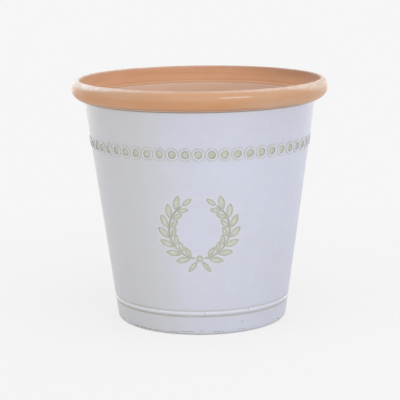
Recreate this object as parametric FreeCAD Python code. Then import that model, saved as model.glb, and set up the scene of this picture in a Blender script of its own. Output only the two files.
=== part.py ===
import FreeCAD, Part
import math
import os

from FreeCAD import Vector

# A round, tapered floor planter of fired clay, thrown in sections that are luted together:
# a foot ring with a floor slab in it, a wall and a rim collar. A bead hides the lower seam,
# a band of small rings runs below the rim and a leaf wreath is impressed in the front.
# Lengths are in millimetres. The origin is the centre of the underside, +Z is up and the
# front faces -Y.

# Outline of the pot
pot_height = 344.0
rim_diameter = 362.2
base_diameter = 241.6

# Walls and floor
wall_thickness = 12.0
base_edge_round = 5.0
slab_seat_height = 5.0
slab_seat_width = 4.0
slab_thickness = 11.0
drain_diameter = 28.0

# Rim collar: its roll outside the wall, and the ledge that the wall's top makes inside it
roll_overhang = 17.7
roll_drop = 12.3
crest_setback = 8.7
ledge_drop = 20.6
lap_depth = 7.8
rim_seat_width = 5.0
ledge_round = 4.0
lip_width = 1.8
lip_drop = 2.6
toe_height = 0.6
hollow_depth = 1.0

# Joints between the sections
seam_height = 31.7
tongue_width = 4.0
tongue_height = 4.0
joint_clearance = 0.3

# Bead over the lower seam, and the slip-filled lines beside it
bead_height = 6.4
bead_proud = 1.6
bead_key = 1.6
line_width = 1.3
line_depth = 0.9
line_slip = 0.6

# Band of applied rings
ring_count = 55
ring_drop = 58.2
ring_diameter = 16.1
ring_width = 2.7
ring_proud = 1.3
pit_depth = 0.8
pit_slip = 0.4

# Leaf wreath, set a little above the middle between bead and band
wreath_lift = 8.5
wreath_diameter = 82.0
leaf_pairs = 7
leaf_length = 20.0
leaf_width = 8.2
leaf_gap = 1.0
leaf_tilt = math.radians(29.0)
inner_leaf_share = 0.76
inner_leaf_tilt = math.radians(38.0)
first_leaf_angle = math.radians(17.0)
last_leaf_angle = math.radians(131.0)
stem_width = 2.0
stem_start_angle = math.radians(10.0)
stem_end_angle = math.radians(144.0)
knot_diameter = 9.0
ribbon_length = 19.0
ribbon_width = 6.0
ribbon_angle = math.radians(38.0)
impression_depth = 1.3
impression_slip = 0.7
slip_clearance = 0.1

# Room that every cutting tool has beyond the face it enters by
overrun = 5.0

# Steps along each quarter of an oval in the rim's section
quarter_steps = 8

# Heights and radii that follow from the sizes above
ledge_height = pot_height - ledge_drop
roll_underside = ledge_height - lap_depth
ring_height = roll_underside - ring_drop
wreath_height = (seam_height + ring_height) / 2 + wreath_lift
base_radius = base_diameter / 2
shoulder_radius = rim_diameter / 2 - roll_overhang
taper = (shoulder_radius - base_radius) / roll_underside


def outside_radius(height):
    """Radius of the painted outside at a height."""
    return base_radius + taper * height


def inside_radius(height):
    """Radius of the bare inside at a height."""
    return outside_radius(height) - wall_thickness


def at(radius, height):
    """Point of a turned section, drawn in the XZ plane."""
    return Vector(radius, 0, height)


def line(start, end):
    """Straight edge."""
    return Part.LineSegment(start, end).toShape()


def arc(start, middle, end):
    """Round edge through three points."""
    return Part.Arc(start, middle, end).toShape()


def corner(start, centre, end):
    """Round edge about a centre, a quarter turn from start to end."""
    outward = start + end - centre * 2
    reach = (start - centre).Length
    return arc(start, centre + outward * (reach / outward.Length), end)


def path(points):
    """Straight edges from point to point."""
    return [line(start, end) for start, end in zip(points, points[1:])]


def quarter_ellipse(centre, half_width, half_height, first_angle):
    """Quarter of an upright or flat ellipse in the XZ plane, starting at first_angle."""
    def point(angle):
        return centre + Vector(half_width * math.cos(angle), 0, half_height * math.sin(angle))

    spline = Part.BSplineCurve()
    angles = [first_angle + math.pi / 2 * step / quarter_steps for step in range(quarter_steps + 1)]
    spline.interpolate(Points=[point(angle) for angle in angles])
    return spline.toShape()


def turned(edges):
    """Solid of revolution about Z from the edges of a closed section."""
    wire = Part.Wire(Part.__sortEdges__(edges))
    return Part.Face(wire).revolve(Vector(0, 0, 0), Vector(0, 0, 1), 360)


def layer(low, high, inner_offset, outer_offset):
    """Conical layer between two heights, from one offset off the outside to another."""
    corners = [
        at(outside_radius(low) + inner_offset, low),
        at(outside_radius(low) + outer_offset, low),
        at(outside_radius(high) + outer_offset, high),
        at(outside_radius(high) + inner_offset, high),
    ]
    return turned(path(corners + corners[:1]))


def seam_outside(direction):
    """Outside of a section from the seam outwards: the bead's channel, then the line's groove.

    direction is +1 for the wall above the seam and -1 for the foot ring below it.
    """
    bead_edge = seam_height + direction * bead_height / 2
    line_edge = bead_edge + direction * line_width
    return [
        at(outside_radius(seam_height) - bead_key, seam_height),
        at(outside_radius(bead_edge) - bead_key, bead_edge),
        at(outside_radius(bead_edge) - line_depth, bead_edge),
        at(outside_radius(line_edge) - line_depth, line_edge),
        at(outside_radius(line_edge), line_edge),
    ]


def make_foot_ring():
    """Low ring that the pot stands on, with a seat for the floor and a tongue for the wall."""
    outside = seam_outside(-1)[::-1]
    inner_seam = inside_radius(seam_height)
    tongue_radius = inner_seam + wall_thickness / 2 - tongue_width / 2
    tongue_top = seam_height + tongue_height
    seat_radius = inside_radius(slab_seat_height)
    edge_end = at(outside_radius(base_edge_round), base_edge_round)
    edge_start = at(edge_end.x - base_edge_round, 0)
    inside = [
        at(tongue_radius + tongue_width, seam_height),
        at(tongue_radius + tongue_width, tongue_top),
        at(tongue_radius, tongue_top),
        at(tongue_radius, seam_height),
        at(inner_seam, seam_height),
        at(seat_radius, slab_seat_height),
        at(seat_radius - slab_seat_width, slab_seat_height),
        at(seat_radius - slab_seat_width, 0),
        edge_start,
    ]
    edge_round = corner(edge_start, at(edge_start.x, edge_end.z), edge_end)
    return turned(path([edge_end] + outside + inside) + [edge_round])


def make_floor_slab():
    """Round floor with a drain hole, let down into the foot ring onto its seat."""
    top = slab_seat_height + slab_thickness
    corners = [
        at(drain_diameter / 2, slab_seat_height),
        at(inside_radius(slab_seat_height) - joint_clearance, slab_seat_height),
        at(inside_radius(top) - joint_clearance, top),
        at(drain_diameter / 2, top),
    ]
    return turned(path(corners + corners[:1]))


def make_pot_wall():
    """Tapered wall, grooved below for the tongue and rounded at the ledge on its top."""
    outside = seam_outside(1) + [at(outside_radius(ledge_height), ledge_height)]
    round_end = at(inside_radius(ledge_height - ledge_round), ledge_height - ledge_round)
    round_start = at(round_end.x + ledge_round, ledge_height)
    ledge_edge = corner(round_start, at(round_start.x, round_end.z), round_end)
    inner_seam = inside_radius(seam_height)
    groove_width = tongue_width + joint_clearance * 2
    groove_radius = inner_seam + wall_thickness / 2 - groove_width / 2
    groove_top = seam_height + tongue_height + joint_clearance
    bottom = [
        round_end,
        at(inner_seam, seam_height),
        at(groove_radius, seam_height),
        at(groove_radius, groove_top),
        at(groove_radius + groove_width, groove_top),
        at(groove_radius + groove_width, seam_height),
        outside[0],
    ]
    wall = turned(path(outside + [round_start]) + [ledge_edge] + path(bottom))
    return wall.cut(Part.makeCompound(ring_pits() + impressions()))


def make_rim_collar():
    """Rolled rim that laps over the wall's outside and stands on its top."""
    widest = at(rim_diameter / 2, pot_height - roll_drop)
    crest = at(widest.x - crest_setback, pot_height)
    lap_bottom = at(outside_radius(roll_underside) + joint_clearance, roll_underside)
    lap_top = at(outside_radius(ledge_height) + joint_clearance, ledge_height)
    toe = at(outside_radius(ledge_height) - rim_seat_width, ledge_height)
    toe_top = at(toe.x, ledge_height + toe_height)
    lip = at(crest.x - lip_width, pot_height - lip_drop)
    chord = lip - toe_top
    hollow_normal = at(chord.z, -chord.x) * (1 / chord.Length)
    hollow_middle = (lip + toe_top) * 0.5 + hollow_normal * hollow_depth
    lower_roll = quarter_ellipse(
        at(lap_bottom.x, widest.z), widest.x - lap_bottom.x, widest.z - roll_underside, -math.pi / 2)
    upper_roll = quarter_ellipse(at(crest.x, widest.z), widest.x - crest.x, roll_drop, 0)
    inner_lip = quarter_ellipse(at(crest.x, lip.z), lip_width, lip_drop, math.pi / 2)
    edges = [lower_roll, upper_roll, inner_lip, arc(lip, hollow_middle, toe_top)]
    return turned(edges + path([toe_top, toe, lap_top, lap_bottom]))


def make_base_bead():
    """Half-round coil laid in the channel over the seam."""
    low = seam_height - bead_height / 2
    high = seam_height + bead_height / 2
    key = bead_key - joint_clearance
    outer_low = at(outside_radius(low), low)
    outer_high = at(outside_radius(high), high)
    crown = at(outside_radius(seam_height) + bead_proud, seam_height)
    back = [
        outer_high,
        at(outer_high.x - key, high),
        at(outer_low.x - key, low),
        outer_low,
    ]
    return turned(path(back) + [arc(outer_low, crown, outer_high)])


def make_bead_lines():
    """Slip in the groove above the bead and in the one below it."""
    above = seam_height + bead_height / 2
    below = seam_height - bead_height / 2
    slip_offset = line_slip - line_depth
    rings = [
        layer(above, above + line_width, -line_depth, slip_offset),
        layer(below - line_width, below, -line_depth, slip_offset),
    ]
    return Part.makeCompound(rings)


def around_band(solid):
    """Copies of one front solid, at every ring of the band."""
    copies = []
    for index in range(ring_count):
        copy = solid.copy()
        copy.rotate(Vector(0, 0, 0), Vector(0, 0, 1), index * 360 / ring_count)
        copies.append(copy)
    return copies


def ring_frame(offset):
    """Point on a ring's axis at an offset off the outside, and the axis out of the wall."""
    normal = Vector(0, -1, -taper)
    normal.normalize()
    return Vector(0, -outside_radius(ring_height), ring_height) + normal * offset, normal


def ring_rod(radius, inner_offset, outer_offset):
    """Round rod along a ring's axis, between two offsets off the outside."""
    start, normal = ring_frame(inner_offset)
    return Part.makeCylinder(radius, outer_offset - inner_offset, start, normal)


def ring_layer(inner_offset, outer_offset):
    """Conical layer as tall as the band, with room to spare."""
    reach = ring_diameter / 2 + overrun
    return layer(ring_height - reach, ring_height + reach, inner_offset, outer_offset)


def ring_pits():
    """Tools for the round pits inside the rings."""
    rod = ring_rod(ring_diameter / 2 - ring_width, -overrun, overrun)
    return around_band(rod.common(ring_layer(-pit_depth, overrun)))


def make_band_rings():
    """Applied clay rings with a round back, bedded on the wall."""
    centre, normal = ring_frame(ring_proud - ring_width / 2)
    tube_radius = ring_width / 2
    coil = Part.makeTorus(ring_diameter / 2 - tube_radius, tube_radius, centre, normal)
    foot = ring_rod(ring_diameter / 2, -ring_width, ring_proud - tube_radius)
    foot = foot.cut(ring_rod(ring_diameter / 2 - ring_width, -overrun, ring_proud))
    ring = coil.fuse(foot).cut(ring_layer(-ring_width - overrun, 0)).removeSplitter()
    return Part.makeCompound(around_band(ring.Solids[0]))


def make_ring_centres():
    """Discs of slip on the floors of the pits."""
    rod = ring_rod(ring_diameter / 2 - ring_width - slip_clearance, -overrun, overrun)
    disc = rod.common(ring_layer(-pit_depth, pit_slip - pit_depth))
    return Part.makeCompound(around_band(disc.Solids[0]))


def wreath_point(side, angle, offset):
    """Point of the front view, by angle up one side from the wreath's foot and offset outward."""
    reach = wreath_diameter / 2 + offset
    return Vector(side * reach * math.sin(angle), 0, wreath_height - reach * math.cos(angle))


def wreath_heading(side, angle, tilt):
    """Direction up one side of the wreath, tilted outward."""
    turn = angle - tilt
    return Vector(side * math.cos(turn), 0, math.sin(turn))


def leaf_outline(root, heading, length, width):
    """Pointed oval from its root along its heading."""
    tip = root + heading * length
    middle = (root + tip) * 0.5
    across = Vector(heading.z, 0, -heading.x) * (width / 2)
    return Part.Wire([arc(root, middle + across, tip), arc(tip, middle - across, root)])


def leaf_outlines(inset):
    """Outlines of all leaves, drawn in by an inset."""
    outlines = []
    step = (last_leaf_angle - first_leaf_angle) / (leaf_pairs - 1)
    clear = stem_width / 2 + leaf_gap + inset * 2
    width = leaf_width - inset * 2
    for side in (-1, 1):
        for index in range(leaf_pairs):
            angle = first_leaf_angle + index * step
            for way, share, tilt in ((1, 1, leaf_tilt), (-1, inner_leaf_share, inner_leaf_tilt)):
                root = wreath_point(side, angle, way * clear)
                heading = wreath_heading(side, angle, way * tilt)
                length = leaf_length * share - inset * 4
                outlines.append(leaf_outline(root, heading, length, width * share))
        root = wreath_point(side, stem_end_angle, 0)
        heading = wreath_heading(side, stem_end_angle, 0)
        length = leaf_length * inner_leaf_share - inset * 4
        outlines.append(leaf_outline(root + heading * clear, heading, length, width * inner_leaf_share))
    return outlines


def stem_outlines(inset):
    """Outlines of the two curved stems."""
    half = stem_width / 2 - inset
    slack = inset / (wreath_diameter / 2)
    start = stem_start_angle + slack
    end = stem_end_angle - slack
    middle = (start + end) / 2
    outlines = []
    for side in (-1, 1):
        inner = [wreath_point(side, angle, -half) for angle in (start, middle, end)]
        outer = [wreath_point(side, angle, half) for angle in (end, middle, start)]
        edges = [arc(*inner), line(inner[2], outer[0]), arc(*outer), line(outer[2], inner[0])]
        outlines.append(Part.Wire(edges))
    return outlines


def ribbon_outlines(inset):
    """Outlines of the round knot at the wreath's foot and of its two ribbon ends."""
    foot = wreath_point(1, 0, 0)
    knot = Part.Wire(Part.makeCircle(knot_diameter / 2 - inset, foot, Vector(0, -1, 0)))
    outlines = [knot]
    for side in (-1, 1):
        heading = Vector(side * math.sin(ribbon_angle), 0, -math.cos(ribbon_angle))
        root = foot + heading * (knot_diameter / 2 + leaf_gap + inset * 2)
        length = ribbon_length - inset * 4
        outlines.append(leaf_outline(root, heading, length, ribbon_width - inset * 2))
    return outlines


def pressed(outlines, inner_offset, outer_offset):
    """Solids of front outlines, carried onto the wall between two offsets off the outside."""
    reach = wreath_diameter / 2 + leaf_length + ribbon_length
    skin = layer(wreath_height - reach, wreath_height + reach, inner_offset, outer_offset)
    depth = Vector(0, -outside_radius(wreath_height + reach) - overrun, 0)
    prisms = [Part.Face(outline).extrude(depth) for outline in outlines]
    return Part.makeCompound(prisms).common(skin).Solids


def impressions():
    """Tools for all the pressed shapes of the wreath."""
    outlines = leaf_outlines(0) + stem_outlines(0) + ribbon_outlines(0)
    return pressed(outlines, -impression_depth, overrun)


def slip_in(outlines):
    """Slip that lies on the floors of impressions with these outlines."""
    return Part.makeCompound(pressed(outlines, -impression_depth, impression_slip - impression_depth))


def make_parts():
    """Shapes of all pieces by name."""
    return {
        "foot_ring": make_foot_ring(),
        "floor_slab": make_floor_slab(),
        "pot_wall": make_pot_wall(),
        "rim_collar": make_rim_collar(),
        "base_bead": make_base_bead(),
        "bead_lines": make_bead_lines(),
        "band_rings": make_band_rings(),
        "ring_centres": make_ring_centres(),
        "wreath_leaves": slip_in(leaf_outlines(slip_clearance)),
        "wreath_stems": slip_in(stem_outlines(slip_clearance)),
        "wreath_ribbon": slip_in(ribbon_outlines(slip_clearance)),
    }


os.makedirs("parts", exist_ok=True)
for name, shape in make_parts().items():
    shape.exportStep(f"parts/{name}.step")
    print(name, len(shape.Solids), "solids", round(shape.Volume), "mm3", shape.isValid())
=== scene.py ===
import logging
import math
from abc import ABC, abstractmethod
from collections.abc import Iterable, Sequence
from dataclasses import dataclass, replace
from enum import Enum

import bmesh
import bpy
import numpy as np
from mathutils import Euler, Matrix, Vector
from mathutils.geometry import delaunay_2d_cdt


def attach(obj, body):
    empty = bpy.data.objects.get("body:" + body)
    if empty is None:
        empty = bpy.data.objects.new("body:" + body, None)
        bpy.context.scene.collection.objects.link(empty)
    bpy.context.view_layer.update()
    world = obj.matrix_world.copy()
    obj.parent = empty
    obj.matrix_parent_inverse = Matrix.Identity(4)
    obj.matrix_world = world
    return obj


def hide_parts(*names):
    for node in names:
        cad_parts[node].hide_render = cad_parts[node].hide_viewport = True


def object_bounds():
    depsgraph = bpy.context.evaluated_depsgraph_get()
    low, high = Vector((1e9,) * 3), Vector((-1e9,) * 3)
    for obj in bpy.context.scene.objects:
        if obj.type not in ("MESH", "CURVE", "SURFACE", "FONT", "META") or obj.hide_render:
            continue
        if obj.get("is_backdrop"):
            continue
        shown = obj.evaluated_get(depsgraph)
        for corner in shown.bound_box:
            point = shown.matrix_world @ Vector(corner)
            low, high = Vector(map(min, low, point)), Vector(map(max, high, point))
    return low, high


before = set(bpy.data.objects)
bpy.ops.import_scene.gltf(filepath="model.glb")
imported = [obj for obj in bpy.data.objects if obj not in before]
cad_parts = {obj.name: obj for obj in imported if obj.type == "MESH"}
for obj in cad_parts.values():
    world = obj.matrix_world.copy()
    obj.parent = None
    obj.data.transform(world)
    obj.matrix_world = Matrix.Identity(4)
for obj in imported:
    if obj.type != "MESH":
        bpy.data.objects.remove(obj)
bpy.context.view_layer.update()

# A round clay planter: lengths of the pot are in millimetres until a mesh is made of them.
BODY = "root"
MM = 0.001
TURN = 2 * math.pi
WELDS_PER_MM = 1000.0
SAME_POINT = 1e-5
SHARP_ANGLE = math.radians(50.0)

Array = np.ndarray
Socket = bpy.types.NodeSocket
Triple = tuple[float, float, float]
Colour = Triple
Flat = tuple[float, float]

EVEN: Triple = (1.0, 1.0, 1.0)

log = logging.getLogger("planter")


class Trait(Enum):
    """Signs of making and use, and painted light and shade, that a surface carries from point to
    point.
    """

    # Patina in hollows; on and under the rim and under the bead, painted shade.
    PATINA_AND_SHADE = "patina"
    # Paler worn places and limy bloom; also painted highlights and reflection.
    WEAR_AND_HIGHLIGHT = "wear"
    # Paint chipped off; just under the rim, a painted shadow line.
    CHIP_AND_SHADE = "chip"
    # Bloom; on the rim and the ledge, also painted light and highlight lines.
    BLOOM = "bloom"


class Coat(Enum):
    """Which of a piece's finishes a face carries."""

    OUTER = 0
    INNER = 1


class Slot(Enum):
    """Finish slots that the part's record names."""

    PAINTED = "painted_clay"
    BARE = "bare_clay"
    SLIP = "tan_slip"


class Side(Enum):
    """The two halves of the wreath, as seen from the front."""

    LEFT = -1
    RIGHT = 1


class Edge(Enum):
    """The two edges of the bead."""

    UPPER = 1
    LOWER = -1


@dataclass(frozen=True)
class Curve:
    """Values at some places along a line, straight between them and level beyond."""

    places: tuple[float, ...]
    values: tuple[float, ...]

    def at(self, place: Array) -> Array:
        """Values at other places."""
        return np.interp(place, self.places, self.values)


@dataclass(frozen=True)
class Swell:
    """One wave around the pot, which may wind upward by an angle per millimetre."""

    depth: float
    count: float
    phase: float = 0.0
    climb: float = 0.0

    def at(self, angle: Array, height: Array) -> Array:
        """Heights of the wave at places around the pot."""
        return self.depth * np.sin(self.count * angle + self.phase + self.climb * height)


def swelling(swells: Iterable[Swell], angle: Array, height: Array) -> Array:
    """Sum of several waves at places around the pot."""
    return sum(swell.at(angle, height) for swell in swells)


# Finishes


@dataclass(frozen=True)
class Pattern:
    """Soft irregular pattern: breadth of its patches, finer octaves and scale along each axis."""

    size: float
    detail: float = 2.0
    stretch: Triple = EVEN


@dataclass(frozen=True)
class Cloud(Pattern):
    """Pattern whose values from low to high become shares from start to end."""

    low: float = 0.3
    high: float = 0.7
    start: float = 0.0
    end: float = 1.0


@dataclass(frozen=True)
class Relief(Pattern):
    """Pattern that roughens a surface to a depth in millimetres."""

    depth: float = 0.1


@dataclass(frozen=True)
class Fade:
    """Share that changes along a direction, between two distances from the origin in metres."""

    way: Triple
    low: float
    high: float
    start: float
    end: float


class Wiring:
    """Adds nodes to one tree and joins them."""

    def __init__(self, tree: bpy.types.NodeTree) -> None:
        """Takes up the tree to add nodes to."""
        self.tree = tree

    def node(self, kind: str, inputs: dict[str | int, object],
             **settings: object) -> bpy.types.Node:
        """Adds one node.

        Args:
            kind: Blender's name of the node type.
            inputs: Values or sockets by input name or place.
            settings: Properties of the node itself.

        Returns:
            The new node.
        """
        made = self.tree.nodes.new(kind)
        for name, value in settings.items():
            setattr(made, name, value)
        for name, value in inputs.items():
            self.feed(made.inputs[name], value)
        return made

    def feed(self, target: Socket, value: object) -> None:
        """Links a socket to an input, or sets the input to a plain value.

        Args:
            target: Input to feed.
            value: Socket, number, vector or colour.
        """
        if isinstance(value, Socket):
            self.tree.links.new(value, target)
        elif isinstance(value, tuple) and len(target.default_value) == 4:
            target.default_value = (*value, 1.0)
        else:
            target.default_value = value

    def span(self, value: Socket, low: float, high: float, start: float = 0.0,
             end: float = 1.0) -> Socket:
        """Stretches values from low to high onto start to end, held at both ends."""
        inputs = {0: value, 1: low, 2: high, 3: start, 4: end}
        return self.node("ShaderNodeMapRange", inputs, interpolation_type="SMOOTHSTEP").outputs[0]

    def times(self, first: Socket, second: Socket) -> Socket:
        """Product of two sockets, held between 0 and 1."""
        inputs = {0: first, 1: second}
        return self.node("ShaderNodeMath", inputs, operation="MULTIPLY", use_clamp=True).outputs[0]


class Recipe(Wiring):
    """Lays out the nodes of one finish."""

    octave_falloff = 0.55
    # Places of the colours among a mixing node's inputs and outputs.
    first_colour, second_colour, mixed_colour = 6, 7, 2

    def __init__(self, name: str) -> None:
        """Starts an empty finish.

        Args:
            name: Name of the material.
        """
        self.material = bpy.data.materials.new(name)
        self.material.use_nodes = True
        super().__init__(self.material.node_tree)
        self.shader = self.tree.nodes["Principled BSDF"]
        self.place = self.tree.nodes.new("ShaderNodeTexCoord").outputs["Object"]

    def pattern(self, pattern: Pattern) -> Socket:
        """Soft irregular pattern from 0 to 1.

        Args:
            pattern: Its patches.

        Returns:
            Socket of the pattern.
        """
        mapping = {"Vector": self.place, "Scale": pattern.stretch}
        inputs = {"Vector": self.node("ShaderNodeMapping", mapping).outputs[0],
                  "Scale": 1 / (pattern.size * MM), "Detail": pattern.detail,
                  "Roughness": self.octave_falloff}
        return self.node("ShaderNodeTexNoise", inputs).outputs[0]

    def share(self, cloud: Cloud) -> Socket:
        """Socket of a share that changes in soft patches."""
        return self.span(self.pattern(cloud), cloud.low, cloud.high, cloud.start, cloud.end)

    def fade(self, fade: Fade) -> Socket:
        """Socket of a share that changes along a direction.

        Args:
            fade: The direction and the shares.

        Returns:
            Socket of the share.
        """
        inputs = {0: self.place, 1: fade.way}
        reach = self.node("ShaderNodeVectorMath", inputs, operation="DOT_PRODUCT").outputs["Value"]
        return self.span(reach, fade.low, fade.high, fade.start, fade.end)

    def grains(self, spacing: float) -> Socket:
        """Distance to scattered grains, in shares of their spacing in millimetres."""
        inputs = {"Vector": self.place, "Scale": 1 / (spacing * MM)}
        return self.node("ShaderNodeTexVoronoi", inputs).outputs["Distance"]

    def trait(self, trait: Trait) -> Socket:
        """Socket of a trait that the mesh carries."""
        return self.node("ShaderNodeAttribute", {}, attribute_name=trait.value).outputs["Fac"]

    def patchy(self, trait: Trait, cloud: Cloud) -> Socket:
        """Socket of a trait that is broken up into soft patches."""
        return self.times(self.trait(trait), self.share(cloud))

    def blend(self, share: Socket, first: Socket | Colour, second: Socket | Colour) -> Socket:
        """Mixes two colours by the share of the second."""
        inputs = {0: share, self.first_colour: first, self.second_colour: second}
        return self.node("ShaderNodeMix", inputs, data_type="RGBA").outputs[self.mixed_colour]

    def layered(self, colour: Colour, layers: Iterable[tuple[Socket, Colour]]) -> Socket:
        """Lays colours over one another.

        Args:
            colour: The lowest one.
            layers: Share and colour of each one above it.

        Returns:
            Socket of the colour that shows.
        """
        for share, upper in layers:
            colour = self.blend(share, colour, upper)
        return colour

    def relief(self, relief: Relief, below: Socket | None = None) -> Socket:
        """Fine relief for the shader's normal.

        Args:
            relief: Pattern and depth of the relief.
            below: Normal of a relief that this one lies on.

        Returns:
            Socket of the normal.
        """
        inputs = {"Height": self.pattern(relief), "Distance": relief.depth * MM, "Strength": 1.0}
        if below is not None:
            inputs["Normal"] = below
        return self.node("ShaderNodeBump", inputs).outputs[0]

    def finish(self, colour: Socket, roughness: Socket, normal: Socket) -> bpy.types.Material:
        """Joins colour, roughness and relief to the shader.

        Args:
            colour: Base colour.
            roughness: Roughness.
            normal: Normal with its relief.

        Returns:
            The finished material.
        """
        self.feed(self.shader.inputs["Base Color"], colour)
        self.feed(self.shader.inputs["Roughness"], roughness)
        self.feed(self.shader.inputs["Normal"], normal)
        return self.material


@dataclass(frozen=True)
class PaintedClay:
    """Matt lilac-grey coat with a tan wash left in its hollows, and with painted highlights,
    painted shade and a greyer left side that is partly painted light.
    """

    coat: Colour = (0.600, 0.618, 0.735)
    grey_coat: Colour = (0.585, 0.602, 0.700)
    thin_coat: Colour = (0.635, 0.652, 0.750)
    # Greyer coat on the left: partly faded paint, partly painted light for the warmer light from
    # the left.
    faded_coat_and_left_light: Colour = (0.572, 0.578, 0.600)
    wash: Colour = (0.545, 0.555, 0.500)
    # Paler coat where worn thin, and painted highlight on the rings' crests, the wreath's lips and
    # the bead's upper half.
    rubbed_and_highlight: Colour = (0.700, 0.715, 0.775)
    # Tan patina in hollows; the same colour is painted shade under the rim and under the bead.
    patina: Colour = (0.400, 0.385, 0.270)
    # Clay where the paint is chipped off, and the painted shadow line just under the rim.
    knocked_and_shade: Colour = (0.250, 0.235, 0.220)
    drift: Cloud = Cloud(130.0, low=0.35, high=0.65)
    thinning: Cloud = Cloud(16.0, 4.0, (1.0, 1.0, 1.6), 0.45, 0.8, 0.0, 0.55)
    fading_and_left_light: Fade = Fade((1.0, 0.0, 0.13), -0.055, 0.022, 0.88, 0.0)
    washing: Cloud = Cloud(55.0, 4.0, low=0.42, high=0.72)
    wash_rise: Fade = Fade((0.0, 0.0, 1.0), 0.02, 0.26, 0.18, 0.05)
    rub_and_highlight_patches: Cloud = Cloud(6.0, 3.0, EVEN, 0.3, 0.6, 0.45, 1.0)
    settling: Cloud = Cloud(4.0, 3.0, EVEN, 0.25, 0.62, 0.5, 1.0)
    knock_edge: Flat = (0.2, 0.6)
    roughness: Cloud = Cloud(9.0, 3.0, EVEN, 0.3, 0.7, 0.40, 0.54)
    grain: Relief = Relief(0.9, 3.0, EVEN, 0.05)
    strokes: Relief = Relief(5.0, 2.0, (0.35, 0.35, 1.6), 0.10)

    def material(self) -> bpy.types.Material:
        """Makes the coat.

        Returns:
            The finished material.
        """
        recipe = Recipe("painted_clay")
        colour = recipe.layered(self.coat, (
            (recipe.share(self.drift), self.grey_coat),
            (recipe.share(self.thinning), self.thin_coat),
            (recipe.fade(self.fading_and_left_light), self.faded_coat_and_left_light),
            (recipe.times(recipe.share(self.washing), recipe.fade(self.wash_rise)), self.wash),
            (recipe.patchy(Trait.WEAR_AND_HIGHLIGHT, self.rub_and_highlight_patches), self.rubbed_and_highlight),
            (recipe.patchy(Trait.PATINA_AND_SHADE, self.settling), self.patina),
            (recipe.span(recipe.trait(Trait.CHIP_AND_SHADE), *self.knock_edge), self.knocked_and_shade),
        ))
        normal = recipe.relief(self.strokes, recipe.relief(self.grain))
        return recipe.finish(colour, recipe.share(self.roughness), normal)


@dataclass(frozen=True)
class BareClay:
    """Unpainted fired clay, from peach to salmon, with a pale limy bloom, and with painted light,
    shade and reflection on the rim.
    """

    name: str = "bare_clay"
    clay: Colour = (0.570, 0.286, 0.140)
    light_clay: Colour = (0.592, 0.311, 0.162)
    dark_clay: Colour = (0.515, 0.245, 0.118)
    # Dark colour of painted shade on the rim; it also darkens the foot's underside at its outer
    # edge.
    shade_colour: Colour = (0.150, 0.090, 0.060)
    # Pale bloom; on the rim's roll it also stands in for light on the top and right side.
    bloom: Colour = (0.572, 0.386, 0.276)
    sand: Colour = (0.600, 0.360, 0.230)
    # White limy colour; on the rim and the ledge it is mostly painted reflection and highlight.
    lime_and_highlight: Colour = (0.920, 0.840, 0.800)
    least_bloom: float = 0.4
    dust: float = 0.3
    dust_spread: float = 0.35
    gloss: float = 0.2
    sand_spacing: float = 2.6
    sand_share: tuple[float, float, float, float] = (0.10, 0.22, 0.35, 0.0)
    drift: Cloud = Cloud(60.0, 3.0, (0.6, 0.6, 2.0), 0.35, 0.65)
    bands: Cloud = Cloud(24.0, 2.0, (0.16, 0.16, 5.0), 0.45, 0.8, 0.0, 0.5)
    shade_patches: Cloud = Cloud(40.0, 3.0, EVEN, 0.3, 0.7, 0.7, 1.0)
    blooming: Cloud = Cloud(30.0, 5.0, (0.3, 0.3, 2.5), 0.4, 0.75)
    mottling: Cloud = Cloud(11.0, 4.0, (1.0, 1.0, 1.4), 0.32, 0.6, 0.55, 1.0)
    roughness: Cloud = Cloud(12.0, 3.0, (0.4, 0.4, 3.0), 0.3, 0.7, 0.52, 0.66)
    grain: Relief = Relief(0.8, 3.0, EVEN, 0.03)
    marks: Relief = Relief(7.0, 2.0, (0.12, 0.12, 3.0), 0.10)

    def material(self) -> bpy.types.Material:
        """Makes the clay.

        Returns:
            The finished material.
        """
        recipe = Recipe(self.name)
        blooming = replace(self.blooming, start=self.least_bloom)
        colour = recipe.layered(self.clay, (
            (recipe.share(self.drift), self.light_clay),
            (recipe.share(self.bands), self.dark_clay),
            (recipe.patchy(Trait.PATINA_AND_SHADE, self.shade_patches), self.shade_colour),
            (recipe.patchy(Trait.BLOOM, blooming), self.bloom),
            (recipe.span(recipe.grains(self.sand_spacing), *self.sand_share), self.sand),
            (recipe.patchy(Trait.WEAR_AND_HIGHLIGHT, self.mottling), self.lime_and_highlight),
        ))
        normal = recipe.relief(self.marks, recipe.relief(self.grain))
        recipe.shader.inputs["Specular IOR Level"].default_value = self.gloss
        recipe.shader.inputs["Sheen Weight"].default_value = self.dust
        recipe.shader.inputs["Sheen Roughness"].default_value = self.dust_spread
        return recipe.finish(colour, recipe.share(self.roughness), normal)


@dataclass(frozen=True)
class TanSlip:
    """Thin tan slip that is pale where it was wiped and dark where it gathered."""

    wiped: Colour = (0.602, 0.630, 0.590)
    slip: Colour = (0.538, 0.562, 0.450)
    gathered: Colour = (0.365, 0.368, 0.285)
    washed: Colour = (0.545, 0.557, 0.600)
    patches: Cloud = Cloud(5.0, 4.0, EVEN, 0.35, 0.65)
    settling: Cloud = Cloud(2.4, 3.0, EVEN, 0.25, 0.6, 0.6, 1.0)
    roughness: Cloud = Cloud(3.0, 3.0, EVEN, 0.3, 0.7, 0.6, 0.8)
    grain: Relief = Relief(0.7, 3.0, EVEN, 0.06)
    lumps: Relief = Relief(2.5, 2.0, EVEN, 0.12)

    def material(self) -> bpy.types.Material:
        """Makes the slip.

        Returns:
            The finished material.
        """
        recipe = Recipe("tan_slip")
        colour = recipe.layered(self.wiped, (
            (recipe.share(self.patches), self.slip),
            (recipe.patchy(Trait.PATINA_AND_SHADE, self.settling), self.gathered),
            (recipe.trait(Trait.BLOOM), self.washed),
        ))
        normal = recipe.relief(self.lumps, recipe.relief(self.grain))
        return recipe.finish(colour, recipe.share(self.roughness), normal)


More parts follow.
